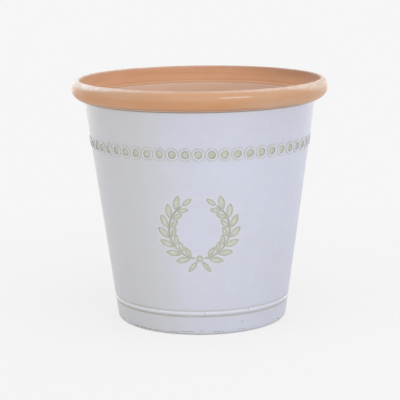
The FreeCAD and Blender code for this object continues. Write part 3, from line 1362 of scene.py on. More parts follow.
@dataclass(frozen=True)
class PotWall:
    """Tapered wall, painted outside and bare inside, with its pits and impressions."""

    form: PotForm
    band: RingBand
    wreath: Wreath
    groove: BeadGroove
    line_margin: float = 2.5
    ledge_round: float = 4.0
    ledge_rows: int = 4
    round_steps: int = 6
    edge_rows: tuple[float, ...] = (0.4, 0.9, 1.6)
    joint_rows: tuple[float, ...] = (-6.0, -4.0, -3.0, -2.0, -1.2, -0.6, 0.0, 1.5)
    panel_columns: int = 32
    panel_low: float = 86.0
    panel_high: float = 208.0
    panel_clear: float = 1.6
    row_pitch: float = 7.0
    inside_pitch: float = 4.0
    line_stain: Curve = Curve((0.0, 2.5), (0.14, 0.0))
    # Just under the rim: some dirt in the joint, and painted shade and a painted shadow line where
    # the roll overhangs the wall.
    joint_grime_and_shade: Curve = Curve((-3.0, -1.2, 0.0), (0.0, 0.7, 1.0))
    under_rim_shadow: Curve = Curve((-2.3, -0.9), (0.0, 0.65))
    wreath_stain: Curve = Curve((-0.4, 0.0, 0.35, 0.9), (1.0, 0.85, 0.25, 0.0))
    # Paler lip around each pressed shape: paint worn thin, and a painted highlight.
    wreath_lip_wear_and_highlight: Curve = Curve((0.1, 0.4, 1.2), (0.0, 0.7, 0.0))
    throwing: tuple[Swell, ...] = (
        Swell(0.22, -1, 0.0, TURN / 11.0), Swell(0.12, -0.37, 1.0, 0.37 * TURN / 11.0),
    )
    throwing_up: Curve = Curve((37.7, 51.7, 305.0, 318.0), (0.0, 1.0, 1.0, 0.0))
    # Pale limy bloom down the inside, the ledge and its round left orange, with a painted highlight
    # line where the round ends.
    inside_bloom_and_highlight: Curve = Curve((-260.0, -1.5, 0.2, 1.0, 2.6, 3.5), (0.8, 1.0, 0.9, 0.3, 0.2, 0.3))
    # Painted highlight line at the foot of the ledge's round.
    ledge_edge_highlight: Curve = Curve((-1.8, -1.0, 0.4, 1.2), (0.0, 0.4, 0.4, 0.0))

    @property
    def columns(self) -> int:
        """Number of columns in a whole turn."""
        return self.band.count * self.band.cell_columns

    def angle(self, column: Array) -> Array:
        """Angle of a column from the front."""
        return np.asarray(column) * (TURN / self.columns)

    def levels(self, low: float, high: float) -> Array:
        """Even heights from low to high, about a row's pitch apart."""
        return np.linspace(low, high, round((high - low) / self.row_pitch) + 1)

    def strip(self, piece: Piece, heights: Array, offsets: Array | float = 0.0,
              skip: int = 0) -> None:
        """Adds rows of the painted face.

        Args:
            piece: The wall.
            heights: Height of each row.
            offsets: Distance of each row out of the wall.
            skip: Columns to leave out on each side of the front.
        """
        whole = skip == 0
        column = np.arange(skip, self.columns - skip + (0 if whole else 1))
        offsets = np.broadcast_to(offsets, heights.shape)[:, None]
        points = self.form.on_outside(self.angle(column)[None, :], heights[:, None], offsets)
        above = heights - self.form.shoulder_height
        over_line = heights - self.groove.far_side(Edge.UPPER)
        # Rows just under the rim take painted shade and a painted shadow line.
        darkening = self.line_stain.at(over_line) + self.joint_grime_and_shade.at(above)
        rows = {Trait.PATINA_AND_SHADE: darkening, Trait.CHIP_AND_SHADE: self.under_rim_shadow.at(above)}
        traits = {trait: np.broadcast_to(values[:, None], points.shape[:-1])
                  for trait, values in rows.items()}
        piece.add_grid(points, traits, wrap_columns=whole)

    def panel(self, piece: Piece, heights: Array) -> None:
        """Adds the front of the painted face, with the pressed wreath.

        Args:
            piece: The wall.
            heights: Heights of the rows beside it.
        """
        plan, wreath = FlatPlan(), self.wreath
        column = np.arange(-self.panel_columns, self.panel_columns + 1)
        across = self.form.outside(heights)[:, None] * np.sin(self.angle(column))[None, :]
        plan.border(across, heights)
        for mark in wreath.marks():
            for offset in wreath.press.places[-2::-1]:
                plan.loop(mark.outline(offset))
        inner = across[1:-1, 2:-2:2]
        up = np.broadcast_to(heights[1:-1, None], inner.shape)
        spare = np.stack([inner, up], axis=-1).reshape(-1, 2)
        plan.points.extend(spare[np.abs(wreath.distance(spare)) > self.panel_clear])
        flat, faces = plan.fill()
        distance = wreath.distance(flat)
        points = self.form.on_outside(wreath.angle(flat), flat[:, 1], wreath.press.at(distance))
        traits = {Trait.PATINA_AND_SHADE: self.wreath_stain.at(distance),
                  Trait.WEAR_AND_HIGHLIGHT: self.wreath_lip_wear_and_highlight.at(distance)}
        piece.add(points, faces, traits)

    def inside_section(self) -> Array:
        """Section from the wall's top, over the ledge and down the inside to the seam.

        Returns:
            Radius and height of each point.
        """
        form, bend = self.form, self.ledge_round
        top, seam = form.ledge_height, form.seam_height
        round_low = top - bend
        middle = form.inside(round_low) + bend
        seat = form.outside(top) - form.rim_seat_width
        ledge = np.linspace(seat, middle, self.ledge_rows)[:, None] * [1.0, 0.0] + [0.0, top]
        edge = oval((middle, round_low), bend, bend, 90.0, 180.0, self.round_steps)[1:]
        steps = round((round_low - seam) / self.inside_pitch)
        rows = np.linspace(round_low, seam, steps + 1)[1:]
        down = np.append(round_low - np.array(self.edge_rows), rows)
        face = np.stack([form.inside(down), down], axis=-1)
        start, end = [[form.outside(top), top]], [[form.outside(seam) - self.groove.key, seam]]
        return np.concatenate([start, ledge, edge, face, end])

    def inside(self, piece: Piece) -> None:
        """Adds the ledge and the bare inside, with the marks of throwing.

        Args:
            piece: The wall.
        """
        angle, radius, height = self.form.turn(self.inside_section(), self.columns)
        free = self.throwing_up.at(height[:, :1])
        free[[0, -1]] = 0.0
        marks = swelling(self.throwing, angle, height)
        points = self.form.place(angle, radius + marks * free, height)
        above = height - self.form.ledge_height + self.ledge_round
        traits = {Trait.BLOOM: self.inside_bloom_and_highlight.at(above), Trait.WEAR_AND_HIGHLIGHT: self.ledge_edge_highlight.at(above)}
        piece.add_grid(points, traits, Coat.INNER)

    def build(self, painted: bpy.types.Material, inner: bpy.types.Material) -> None:
        """Makes the wall.

        Args:
            painted: Finish of the outside.
            inner: Finish of the inside.
        """
        piece = Piece("painted_wall", "pot_wall")
        form, band = self.form, self.band
        heights, offsets = np.array(self.groove.section(Edge.UPPER, self.line_margin)).T
        self.strip(piece, heights, offsets)
        self.strip(piece, self.levels(heights[-1], self.panel_low))
        rows = self.levels(self.panel_low, self.panel_high)
        self.strip(piece, rows, skip=self.panel_columns)
        self.panel(piece, rows)
        self.strip(piece, self.levels(self.panel_high, band.height - band.half_band))
        band.pit_walls(piece)
        joint = form.shoulder_height + np.array(self.joint_rows)
        self.strip(piece, self.levels(band.height + band.half_band, joint[0]))
        self.strip(piece, np.append(joint, form.ledge_height))
        self.inside(piece)
        piece.make([painted, inner], Slot.PAINTED)


# Rim


@dataclass(frozen=True)
class RimCollar:
    """Fat rolled rim of bare clay that laps over the wall, hollowed inside.

    Curves whose names end in around run over degrees from the front, and the others over height.
    """

    form: PotForm
    radius: float = 181.1
    roll_drop: float = 12.3
    crest_setback: float = 8.7
    lip_width: float = 1.8
    lip_drop: float = 2.6
    toe_height: float = 0.6
    hollow_depth: float = 1.0
    clearance: float = 0.3
    columns: int = 440
    lower_steps: int = 16
    upper_steps: int = 14
    lip_steps: int = 9
    hollow_steps: int = 11
    free_clay: Curve = Curve((324.0, 328.0), (0.0, 1.0))
    dents: tuple[Swell, ...] = (Swell(0.12, 5, 0.4), Swell(0.08, 13, 0.0, 1 / 3.0))
    turning_depth: float = 0.05
    turning_climb: float = 2.1
    turning_sway: float = 0.6
    # Paler towards the roll's top: bloom, and painted light on the top that faces the light.
    roll_bloom_and_top_light: Curve = Curve((317.0, 321.0, 329.5, 333.0, 343.0), (0.3, 0.2, 0.10, 0.60, 0.85))
    # Paler on the roll's right: bloom, and painted light for the cooler light from the right.
    right_bloom_and_light: Curve = Curve((316.0, 319.0, 343.0), (0.2, 0.75, 0.95))
    right_bloom_and_light_around: Curve = Curve((5.0, 30.0, 75.0, 110.0), (0.0, 1.0, 1.0, 0.3))
    # Pale at the toe, a painted highlight line where the inside face meets the ledge, and pale
    # again at the lip.
    inner_bloom: Curve = Curve((324.2, 325.0, 341.0, 343.5), (0.4, 0.2, 0.1, 0.8))
    # Painted shade on the roll's underside, where it overhangs the wall.
    roll_underside_shade: Curve = Curve((315.6, 318.0, 319.8), (1.0, 1.0, 0.0))
    # Painted shade on the inside face, on its right side and darker towards the lip.
    inner_face_shade: Curve = Curve((325.0, 332.0, 338.0, 342.5), (0.2, 0.5, 1.0, 1.0))
    inner_face_shade_around: Curve = Curve((80.0, 100.0, 135.0, 165.0), (0.0, 0.38, 0.30, 0.0))
    # Painted reflection along the crest, strongest at the two sides, over patches of limy bloom.
    lime_and_highlight_around: Curve = Curve(
        (-180, -150, -120, -95, -60, -46, -30, 0, 30, 45, 55, 65, 95, 120, 150, 180),
        (0.3, 0.4, 0.6, 1.0, 1.0, 0.65, 0.35, 0.15, 0.35, 0.45, 0.5, 0.5, 0.45, 0.4, 0.2, 0.3))
    lime_and_highlight_foot_around: Curve = Curve(
        (-90, -60, -35, 0, 40, 60, 100), (333.0, 335.5, 340.5, 341.5, 340.5, 333.0, 331.0))
    lime_and_highlight_gain: float = 1.6
    inner_lime_and_highlight: Curve = Curve((340.5, 343.5), (0.0, 1.0))
    # Painted highlight dash along the roll, to the right of the front.
    highlight_dash_around: Curve = Curve((8.0, 11.0, 21.0, 25.0), (0.0, 0.45, 0.45, 0.0))
    highlight_dash_height: float = 335.8
    highlight_dash_reach: float = 0.5

    def section(self) -> Array:
        """Closed section of the rim.

        Returns:
            Radius and height of each point, from the lap's foot over the roll and down inside.
        """
        form = self.form
        ledge, shoulder = form.ledge_height, form.shoulder_height
        widest = form.height - self.roll_drop
        crest = self.radius - self.crest_setback
        low = form.outside(shoulder) + self.clearance
        high = form.outside(ledge) + self.clearance
        toe = form.outside(ledge) - form.rim_seat_width
        lower_reach, upper_reach = self.radius - low, self.radius - crest
        lower = oval((low, widest), lower_reach, widest - shoulder, -90.0, 0.0, self.lower_steps)
        upper = oval((crest, widest), upper_reach, self.roll_drop, 0.0, 90.0, self.upper_steps)
        lip_middle = (crest, form.height - self.lip_drop)
        lip = oval(lip_middle, self.lip_width, self.lip_drop, 90.0, 180.0, self.lip_steps)
        start = lip[-1]
        chord = np.array([toe, ledge + self.toe_height]) - start
        outward = np.array([-chord[1], chord[0]]) / np.linalg.norm(chord)
        share = np.linspace(0.0, 1.0, self.hollow_steps + 1)[1:, None]
        hollow = start + chord * share + outward * (4 * share * (1 - share) * self.hollow_depth)
        foot = np.array([[toe, ledge], [high, ledge]])
        return np.concatenate([lower, upper[1:], lip[1:], hollow, foot])

    def lime_and_highlight(self, turn: Array, height: Array, outside: Array) -> Array:
        """Limy white bloom along the crest, and a painted reflection on it that is strongest at the
        two sides, with a painted highlight dash.

        Args:
            turn: Angle from the front, in degrees.
            height: Height above the floor.
            outside: Whether a place is on the roll, not on the inside face.

        Returns:
            Strength of the limy bloom, the painted reflection and the highlight dash.
        """
        around = self.lime_and_highlight_around.at(turn)
        foot = self.lime_and_highlight_foot_around.at(turn)
        rise = np.clip(self.lime_and_highlight_gain * (height - foot) / (self.form.height - foot), 0.0, 1.0)
        rubbed_and_highlight = self.highlight_dash_around.at(turn) * (np.abs(height - self.highlight_dash_height) < self.highlight_dash_reach)
        roll = np.maximum(around * rise, rubbed_and_highlight)
        return np.where(outside, roll, around * self.inner_lime_and_highlight.at(height))

    def build(self, clay: bpy.types.Material, lightened_inner_clay: bpy.types.Material) -> None:
        """Makes the rim.

        Args:
            clay: Finish of the roll.
            lightened_inner_clay: Finish of the inside face.
        """
        piece = Piece("rolled_rim", "rim_collar")
        angle, radius, height = self.form.turn(self.section(), self.columns)
        sway = self.turning_sway * np.sin(angle)
        lines = self.turning_depth * np.sin(height * self.turning_climb + sway)
        rough = self.free_clay.at(height) * (swelling(self.dents, angle, height) + lines)
        points = self.form.place(angle, radius + rough, height)
        turn = np.remainder(np.degrees(angle) + 180.0, 360.0) - 180.0
        outside = radius > self.radius - self.crest_setback
        right = self.right_bloom_and_light_around.at(turn) * self.right_bloom_and_light.at(height)
        roll_bloom_and_top_light = np.maximum(self.roll_bloom_and_top_light.at(height), right)
        inner_face_shade = self.inner_face_shade_around.at(turn) * self.inner_face_shade.at(height)
        traits = {Trait.BLOOM: np.where(outside, roll_bloom_and_top_light, self.inner_bloom.at(height)),
                  # Painted shade under the roll and on the right of the inside face.
                  Trait.PATINA_AND_SHADE: np.where(outside, self.roll_underside_shade.at(height), inner_face_shade),
                  Trait.WEAR_AND_HIGHLIGHT: self.lime_and_highlight(turn, height, outside)}
        piece.add_two_coats(points, traits, int(np.argmax(height[:, 0])))
        piece.make([clay, lightened_inner_clay], Slot.BARE)


# Foot


@dataclass(frozen=True)
class Chip:
    """Small place where the painted edge was chipped."""

    angle: float
    height: float
    half_width: float
    half_height: float
    depth: float
    fullness: float = 1.25

    def share(self, angle: Array, height: Array, radius: float) -> Array:
        """How much of the chip reaches a place.

        Args:
            angle: Angle from the front.
            height: Height above the floor.
            radius: Radius of the face.

        Returns:
            1 in its middle to 0 outside it.
        """
        turn = np.remainder(angle - math.radians(self.angle) + math.pi, TURN) - math.pi
        across = turn * radius / self.half_width
        up = (height - self.height) / self.half_height
        return np.clip(self.fullness - np.hypot(across, up), 0.0, 1.0)


def knocks(chips: Iterable[Chip], angle: Array, height: Array,
           radius: float) -> tuple[Array, Array]:
    """What several chips do to a face.

    Args:
        chips: The chips.
        angle: Angle from the front.
        height: Height above the floor.
        radius: Radius of the face.

    Returns:
        Depth of the hollows, and share of the coat that is gone.
    """
    dent, bare = np.zeros(angle.shape), np.zeros(angle.shape)
    for chip in chips:
        share = chip.share(angle, height, radius)
        dent = np.maximum(dent, chip.depth * share)
        bare = np.maximum(bare, share)
    return dent, bare


FRONT_CHIPS = (
    Chip(-55.4, 4.9, 1.8, 0.5, 0.2), Chip(-51.6, 4.4, 3.0, 0.55, 0.25),
    Chip(-47.6, 3.9, 3.6, 0.9, 0.4), Chip(-43.2, 3.9, 3.2, 0.85, 0.4),
    Chip(-39.7, 3.8, 3.0, 0.7, 0.35), Chip(-36.0, 3.7, 4.0, 0.45, 0.2),
    Chip(-31.3, 4.0, 4.5, 0.4, 0.2), Chip(-27.9, 4.3, 3.5, 0.4, 0.2),
    Chip(-19.0, 4.6, 3.0, 0.4, 0.2), Chip(-17.0, 4.0, 2.0, 0.45, 0.25),
    Chip(-15.4, 3.2, 1.2, 1.1, 0.4), Chip(-11.5, 5.3, 3.5, 0.4, 0.2),
    Chip(-8.5, 5.6, 4.0, 0.4, 0.2), Chip(-5.8, 5.9, 2.5, 0.4, 0.15),
    Chip(0.7, 6.3, 1.5, 0.7, 0.3), Chip(9.0, 5.2, 3.0, 0.4, 0.2),
    Chip(12.0, 5.0, 3.5, 0.45, 0.2), Chip(14.6, 5.0, 1.6, 0.4, 0.2),
    Chip(25.7, 5.8, 1.5, 0.5, 0.2), Chip(27.5, 5.5, 1.6, 0.4, 0.2),
    Chip(29.4, 5.4, 1.8, 0.5, 0.2), Chip(28.3, 15.1, 0.9, 0.9, 0.2),
    Chip(27.3, 17.1, 0.8, 0.8, 0.2),
)
BEAD_CHIPS = (
    Chip(2.5, 32.6, 1.0, 0.9, 0.3), Chip(31.4, 33.6, 1.1, 0.9, 0.3),
    Chip(28.5, 34.1, 0.8, 0.6, 0.3),
)


@dataclass(frozen=True)
class FootRing:
    """Low painted ring that the pot stands on, worn at its lower edge.

    back_range holds the least and greatest value of each size of the chips away from the front,
    in the order of a chip's sizes.
    """

    form: PotForm
    groove: BeadGroove
    line_margin: float = 2.2
    edge_round: float = 5.0
    edge_steps: int = 16
    edge_margin: float = 3.0
    wide_rows: int = 15
    close_rows: int = 8
    seat_height: float = 5.0
    seat_width: float = 4.0
    inner_row: float = 18.0
    coat_margin: float = 4.0
    columns: int = 900
    chips: tuple[Chip, ...] = FRONT_CHIPS
    back_chips: int = 26
    back_range: tuple[Flat, ...] = ((60.0, 300.0), (1.5, 7.0), (0.8, 2.6), (0.6, 1.1), (0.2, 0.4))
    seed: int = 23
    scuffs: tuple[Swell, ...] = (Swell(0.10, 17, 1.0), Swell(0.08, 41, 0.0, 1.0))
    scuffs_up: Curve = Curve((2.0, 6.0), (1.0, 0.0))
    # Darker towards the bottom edge of the foot.
    bottom_darkening: Curve = Curve((0.0, 1.0, 3.5, 6.0), (0.9, 0.5, 0.16, 0.0))
    line_stain: Curve = Curve((-1.6, 0.0), (0.0, 0.25))
    inner_bloom: float = 0.8

    def section(self) -> Array:
        """Closed section of the ring.

        Returns:
            Radius and height of each point, from the seam down the outside.
        """
        form, bend, seam = self.form, self.edge_round, self.form.seam_height
        head = self.groove.section(Edge.LOWER, self.line_margin)
        near_edge = bend + self.edge_margin
        wide = np.linspace(head[-1][0], near_edge, self.wide_rows + 1)[1:]
        close = np.linspace(near_edge, bend, self.close_rows + 1)[1:]
        face = head + [(height, 0.0) for height in np.append(wide, close)]
        outside = np.array([(form.outside(height) + offset, height) for height, offset in face])
        edge = oval((form.outside(bend) - bend, bend), bend, bend, 0.0, -90.0, self.edge_steps)[1:]
        seat = form.inside(self.seat_height)
        sole = seat - self.seat_width
        inside = [(sole, 0.0), (sole, self.seat_height), (seat, self.seat_height),
                  (form.inside(self.inner_row), self.inner_row), (form.inside(seam), seam)]
        return np.concatenate([outside, edge, np.array(inside)])

    def all_chips(self) -> list[Chip]:
        """Chips at the front and others spread over the rest of the turn.

        Returns:
            The chips.
        """
        draw = np.random.default_rng(self.seed)
        back = [Chip(*[draw.uniform(*limits) for limits in self.back_range])
                for _ in range(self.back_chips)]
        return [*self.chips, *back]

    def build(self, painted: bpy.types.Material, inner: bpy.types.Material) -> None:
        """Makes the ring.

        Args:
            painted: Finish of the outside.
            inner: Finish of the underside and the inside.
        """
        piece = Piece("painted_foot", "foot_ring")
        angle, radius, height = self.form.turn(self.section(), self.columns)
        outer = radius > self.form.inside(height) + self.coat_margin
        dent, bare = knocks(self.all_chips(), angle, height, self.form.base_radius)
        scuffs = swelling(self.scuffs, angle, height) * self.scuffs_up.at(height)
        points = self.form.place(angle, radius + (scuffs - dent) * outer, height)
        under_line = height - self.groove.far_side(Edge.LOWER)
        darkening = np.maximum(self.bottom_darkening.at(height), self.line_stain.at(under_line))
        traits = {Trait.PATINA_AND_SHADE: darkening * outer, Trait.CHIP_AND_SHADE: bare * outer,
                  Trait.BLOOM: np.full(angle.shape, self.inner_bloom)}
        piece.add_two_coats(points, traits, int(np.argmin(height[:, 0])))
        piece.make([painted, inner], Slot.PAINTED)


@dataclass(frozen=True)
class FloorSlab:
    """Bare clay floor with a drain hole, thrown flat with a spiral mark."""

    form: PotForm
    low: float = 5.0
    high: float = 16.0
    hole_radius: float = 14.0
    hole_round: float = 1.5
    hole_steps: int = 5
    hole_bevel: float = 0.6
    hole_margin: float = 1.0
    clearance: float = 0.3
    under_row: float = 60.0
    corner_rise: float = 3.0
    corner_reach: float = 7.0
    corner_steps: int = 7
    top_inset: float = 9.0
    top_rows: int = 48
    columns: int = 300
    spiral_depth: float = 0.22
    spiral_pitch: float = 9.0
    spiral_reach: Curve = Curve((18.0, 26.0, 95.0, 102.0), (0.0, 1.0, 1.0, 0.0))
    bloom: float = 0.55

    def section(self) -> Array:
        """Closed section of the slab.

        Returns:
            Radius and height of each point, from the hole along the underside and back on top.
        """
        low, high, hole, bend = self.low, self.high, self.hole_radius, self.hole_round
        edge_low = self.form.inside(low) - self.clearance
        edge_high = self.form.inside(high + self.corner_rise) - self.clearance
        under = [(hole, low + self.hole_bevel), (hole + self.hole_bevel, low),
                 (self.under_row, low), (edge_low, low)]
        rise = [(edge_high - self.corner_reach * share, high + self.corner_rise * (1 - share) ** 2)
                for share in np.linspace(0.0, 1.0, self.corner_steps + 1)]
        brim_edge = hole + bend + self.hole_margin
        reaches = np.linspace(edge_high - self.top_inset, brim_edge, self.top_rows)
        top = [(reach, high) for reach in reaches]
        brim = oval((hole + bend, high - bend), bend, bend, 90.0, 180.0, self.hole_steps)
        return np.concatenate([np.array(under + rise + top), brim])

    def build(self, clay: bpy.types.Material) -> None:
        """Makes the floor.

        Args:
            clay: Finish of the bare clay.
        """
        piece = Piece("clay_floor", "floor_slab")
        angle, radius, height = self.form.turn(self.section(), self.columns)
        spiral = self.spiral_depth * np.sin(radius / self.spiral_pitch * TURN - angle)
        upper = height > (self.low + self.high) / 2
        marks = spiral * self.spiral_reach.at(radius) * upper
        points = self.form.place(angle, radius, height + marks)
        piece.add_grid(points, {Trait.BLOOM: np.full(angle.shape, self.bloom)}, wrap_rows=True)
        piece.make([clay], Slot.BARE)


# Bead


@dataclass(frozen=True)
class BaseBead:
    """Half-round coil over the lower seam, between two lines of slip.

    line_section holds each point's share of the line's width and its drop below the slip's level,
    or none for the groove's floor. line_fill and line_washed are for the upper and lower line.
    """

    form: PotForm
    groove: BeadGroove
    proud: float = 1.6
    key: float = 1.3
    rows: int = 17
    columns: int = 720
    chips: tuple[Chip, ...] = BEAD_CHIPS
    # Patina along both grooves, heavier below, where it is also painted shade on the bead's
    # underside.
    darkening: Curve = Curve((-1.0, -0.75, -0.2, 0.1, 0.8, 1.0), (0.55, 0.3, 0.06, 0.0, 0.0, 0.15))
    # Painted highlight along the bead's upper half.
    wear: Curve = Curve((0.0, 0.3, 0.75, 0.95), (0.0, 1.0, 1.0, 0.0))
    line_slip: float = 0.6
    line_columns: int = 440
    line_section: tuple[tuple[float, float | None], ...] = (
        (0.0, None), (1.0, None), (1.0, 0.0), (0.75, 0.06), (0.5, 0.08), (0.25, 0.06), (0.0, 0.0),
    )
    line_fill: Flat = (0.25, 0.95)
    line_washed: Flat = (0.85, 0.3)
    washed_across: Curve = Curve((-0.5, 0.35), (0.2, 1.0))
    lumps: Swell = Swell(0.05, 29)
    gathering: tuple[Swell, Swell] = (Swell(0.25, 5, 2.0), Swell(1.0, 11))

    def bead(self) -> Piece:
        """The coil.

        Returns:
            The piece, ready to make.
        """
        piece = Piece("painted_bead", "base_bead")
        seam, half = self.form.seam_height, self.groove.bead_height / 2
        share = eased(self.rows - 1)
        heights = seam + half * share
        round_back = self.form.outside(heights) + self.proud * (1 - share ** 2)
        ends = heights[[-1, 0]]
        keyed = np.stack([self.form.outside(ends) - self.key, ends], axis=-1)
        section = np.concatenate([np.stack([round_back, heights], axis=-1), keyed])
        angle, radius, height = self.form.turn(section, self.columns)
        dent, bare = knocks(self.chips, angle, height, self.form.outside(seam))
        points = self.form.place(angle, radius - dent, height)
        rise = (height - seam) / half
        traits = {Trait.PATINA_AND_SHADE: self.darkening.at(rise), Trait.WEAR_AND_HIGHLIGHT: self.wear.at(rise),
                  Trait.CHIP_AND_SHADE: bare}
        piece.add_grid(points, traits, wrap_rows=True)
        return piece

    def lines(self) -> Piece:
        """Slip in the grooves above and below the coil.

        Returns:
            The piece, ready to make.
        """
        piece = Piece("bead_line_slip", "bead_lines")
        groove = self.groove
        level = self.line_slip - groove.depth
        share = np.array([place for place, _ in self.line_section])
        offset = np.array([-groove.depth if drop is None else level - drop
                           for _, drop in self.line_section])
        free = np.array([drop is not None for _, drop in self.line_section])[:, None]
        lows = (groove.bead_edge(Edge.UPPER), groove.far_side(Edge.LOWER))
        for low, fill, most_washed in zip(lows, self.line_fill, self.line_washed):
            heights = low + groove.width * share
            section = np.stack([self.form.outside(heights) + offset, heights], axis=-1)
            angle, radius, height = self.form.turn(section, self.line_columns)
            points = self.form.place(angle, radius + self.lumps.at(angle, height) * free, height)
            slow, fast = [swell.at(angle, height) for swell in self.gathering]
            traits = {Trait.PATINA_AND_SHADE: np.clip(fill + slow * fast, 0.0, 1.0),
                      Trait.BLOOM: most_washed * self.washed_across.at(np.sin(angle))}
            piece.add_grid(points, traits, wrap_rows=True)
        return piece

    def build(self, painted: bpy.types.Material, slip: bpy.types.Material) -> None:
        """Makes the coil and its lines."""
        self.bead().make([painted], Slot.PAINTED)
        self.lines().make([slip], Slot.SLIP)


# Studio


@dataclass(frozen=True)
class Softbox:
    """Large soft lamp, turned towards the pot; lengths are in metres and angles in degrees."""

    name: str
    azimuth: float
    elevation: float
    distance: float
    width: float
    height: float
    share: float
    colour: Colour

    def build(self, target: Vector) -> None:
        """Hangs the lamp.

        Args:
            target: Place that it is turned towards.
        """
        around, up = math.radians(self.azimuth), math.radians(self.elevation)
        flat = math.cos(up)
        way = Vector((math.sin(around) * flat, -math.cos(around) * flat, math.sin(up)))
        lamp = bpy.data.lights.new(self.name, "AREA")
        lamp.shape = "RECTANGLE"
        lamp.size, lamp.size_y = self.width, self.height
        lamp.energy = self.share * (math.pi * self.distance) ** 2
        lamp.color = self.colour
        hung = bpy.data.objects.new(self.name, lamp)
        hung.location = target + way * self.distance
        hung.rotation_euler = way.to_track_quat("Z", "Y").to_euler()
        hung.visible_camera = False
        bpy.context.scene.collection.objects.link(hung)


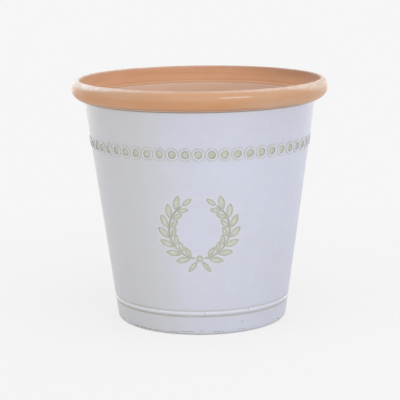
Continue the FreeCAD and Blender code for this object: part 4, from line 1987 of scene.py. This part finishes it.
@dataclass(frozen=True)
class Studio:
    """Pale floor, soft light and the camera; lengths are in metres."""

    camera_distance: float = 2.1192
    camera_height: float = 0.5694
    camera_side: float = -0.0013
    camera_azimuth: float = math.radians(1.1)
    camera_pitch: float = 0.1875
    camera_roll: float = -0.0115
    lens: float = 135.0
    sensor: float = 36.0
    target_height: float = 0.19
    floor_half: float = 14.0
    pale: Colour = (0.921, 0.921, 0.921)
    shadow_share: float = 0.2
    shadow_reach: Flat = (0.3, 0.9)
    sky: Colour = (1.0, 1.0, 1.0)
    sky_strength: float = 0.56
    lamps: tuple[Softbox, ...] = (
        Softbox("left_fill", -66.0, 0.0, 2.2, 2.4, 0.34, 0.155, (1.0, 0.98, 0.95)),
        Softbox("left_edge_light", -145.0, 0.0, 2.2, 1.6, 0.34, 0.23, (1.0, 0.98, 0.95)),
        Softbox("right_edge_light", 145.0, 0.0, 2.2, 1.6, 0.34, 0.20, (0.96, 0.97, 1.0)),
        Softbox("front_softbox", 28.0, 8.0, 2.6, 2.0, 1.1, 0.28, (1.0, 0.99, 0.98)),
        Softbox("top_softbox", 15.0, 76.0, 1.8, 1.2, 1.2, 0.38, (1.0, 1.0, 1.0)),
        Softbox("back_softbox", 180.0, 28.0, 2.2, 1.5, 0.7, 0.06, (1.0, 1.0, 1.0)),
    )

    def camera(self) -> None:
        """Sets up the camera at the photograph's viewing angle."""
        lens = bpy.data.cameras.new("camera")
        lens.lens = self.lens
        lens.sensor_width = self.sensor
        stand = bpy.data.objects.new("camera", lens)
        turn, side = self.camera_azimuth, self.camera_side
        x = self.camera_distance * math.sin(turn) + side * math.cos(turn)
        y = -self.camera_distance * math.cos(turn) + side * math.sin(turn)
        stand.location = (x, y, self.camera_height)
        aim = Euler((math.pi / 2 - self.camera_pitch, 0.0, turn)).to_matrix()
        roll = Euler((0.0, 0.0, self.camera_roll)).to_matrix()
        stand.rotation_euler = (aim @ roll).to_euler()
        bpy.context.scene.collection.objects.link(stand)
        bpy.context.scene.camera = stand

    def seen_directly(self, wiring: Wiring) -> Socket:
        """Share of a ray that shows the pale background: from the camera, mirrored or let through.

        Args:
            wiring: Nodes of the floor or of the surroundings.

        Returns:
            Socket that is 1 for such rays and 0 for others.
        """
        path = wiring.node("ShaderNodeLightPath", {})
        share = path.outputs["Is Camera Ray"]
        for kind in ("Is Glossy Ray", "Is Transmission Ray"):
            inputs = {0: share, 1: path.outputs[kind]}
            share = wiring.node("ShaderNodeMath", inputs, operation="MAXIMUM").outputs[0]
        return share

    def show(self, wiring: Wiring, share: Socket, lit: Socket, plain: Socket, output: str) -> None:
        """Shows the plain pale colour by its share, and what the light falls on by the rest."""
        mix = wiring.node("ShaderNodeMixShader", {0: share, 1: lit, 2: plain})
        wiring.node(output, {"Surface": mix.outputs[0]})

    def floor_finish(self) -> bpy.types.Material:
        """Makes the floor's finish: plain pale colour, less of it in the pot's shadow.

        Returns:
            The finished material.
        """
        material = bpy.data.materials.new("pale_floor")
        material.use_nodes = True
        material.node_tree.nodes.clear()
        wiring = Wiring(material.node_tree)
        place = wiring.node("ShaderNodeTexCoord", {}).outputs["Object"]
        reach = wiring.node("ShaderNodeVectorMath", {0: place}, operation="LENGTH").outputs["Value"]
        clear = wiring.span(reach, *self.shadow_reach, 1 - self.shadow_share, 1.0)
        share = wiring.times(clear, self.seen_directly(wiring))
        matt = wiring.node("ShaderNodeBsdfDiffuse", {"Color": self.pale}).outputs[0]
        glow = wiring.node("ShaderNodeEmission", {"Color": self.pale}).outputs[0]
        self.show(wiring, share, matt, glow, "ShaderNodeOutputMaterial")
        return material

    def floor(self) -> None:
        """Lays the pale floor, which keeps the pot's shadow."""
        half = self.floor_half
        corners = [(-half, -half, 0), (half, -half, 0), (half, half, 0), (-half, half, 0)]
        mesh = bpy.data.meshes.new("floor")
        mesh.from_pydata(corners, [], [(0, 1, 2, 3)])
        mesh.materials.append(self.floor_finish())
        laid = bpy.data.objects.new("floor", mesh)
        bpy.context.scene.collection.objects.link(laid)
        laid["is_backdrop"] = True

    def surroundings(self) -> None:
        """Sets the even light from all around and the pale background."""
        world = bpy.data.worlds.new("studio")
        world.use_nodes = True
        world.node_tree.nodes.clear()
        wiring = Wiring(world.node_tree)
        inputs = {"Color": self.sky, "Strength": self.sky_strength}
        light = wiring.node("ShaderNodeBackground", inputs).outputs[0]
        back = wiring.node("ShaderNodeBackground", {"Color": self.pale}).outputs[0]
        self.show(wiring, self.seen_directly(wiring), light, back, "ShaderNodeOutputWorld")
        bpy.context.scene.world = world

    def build(self) -> None:
        """Sets up camera, floor and light."""
        bpy.context.scene.view_settings.view_transform = "Standard"
        self.camera()
        self.floor()
        self.surroundings()
        for lamp in self.lamps:
            lamp.build(Vector((0.0, 0.0, self.target_height)))


def main() -> None:
    """Builds the planter piece by piece, then the studio around it."""
    logging.basicConfig(level=logging.INFO, format="%(name)s: %(message)s")
    painted = PaintedClay().material()
    bare = BareClay().material()
    inner = LIGHTENED_INNER_CLAY.material()
    limed = LIMED_CLAY.material()
    slip = TanSlip().material()
    form = PotForm()
    groove = BeadGroove(form)
    band = RingBand(form)
    wreath = Wreath(form)
    FootRing(form, groove).build(painted, limed)
    FloorSlab(form).build(limed)
    PotWall(form, band, wreath, groove).build(painted, limed)
    BaseBead(form, groove).build(painted, slip)
    band.build(painted, slip)
    wreath.build(slip)
    RimCollar(form).build(bare, inner)
    Studio().build()
    shown_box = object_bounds()
    corners = [tuple(round(value, 4) for value in corner) for corner in shown_box]
    log.info("box of the model: %s to %s", *corners)


if __name__ == "__main__":
    main()
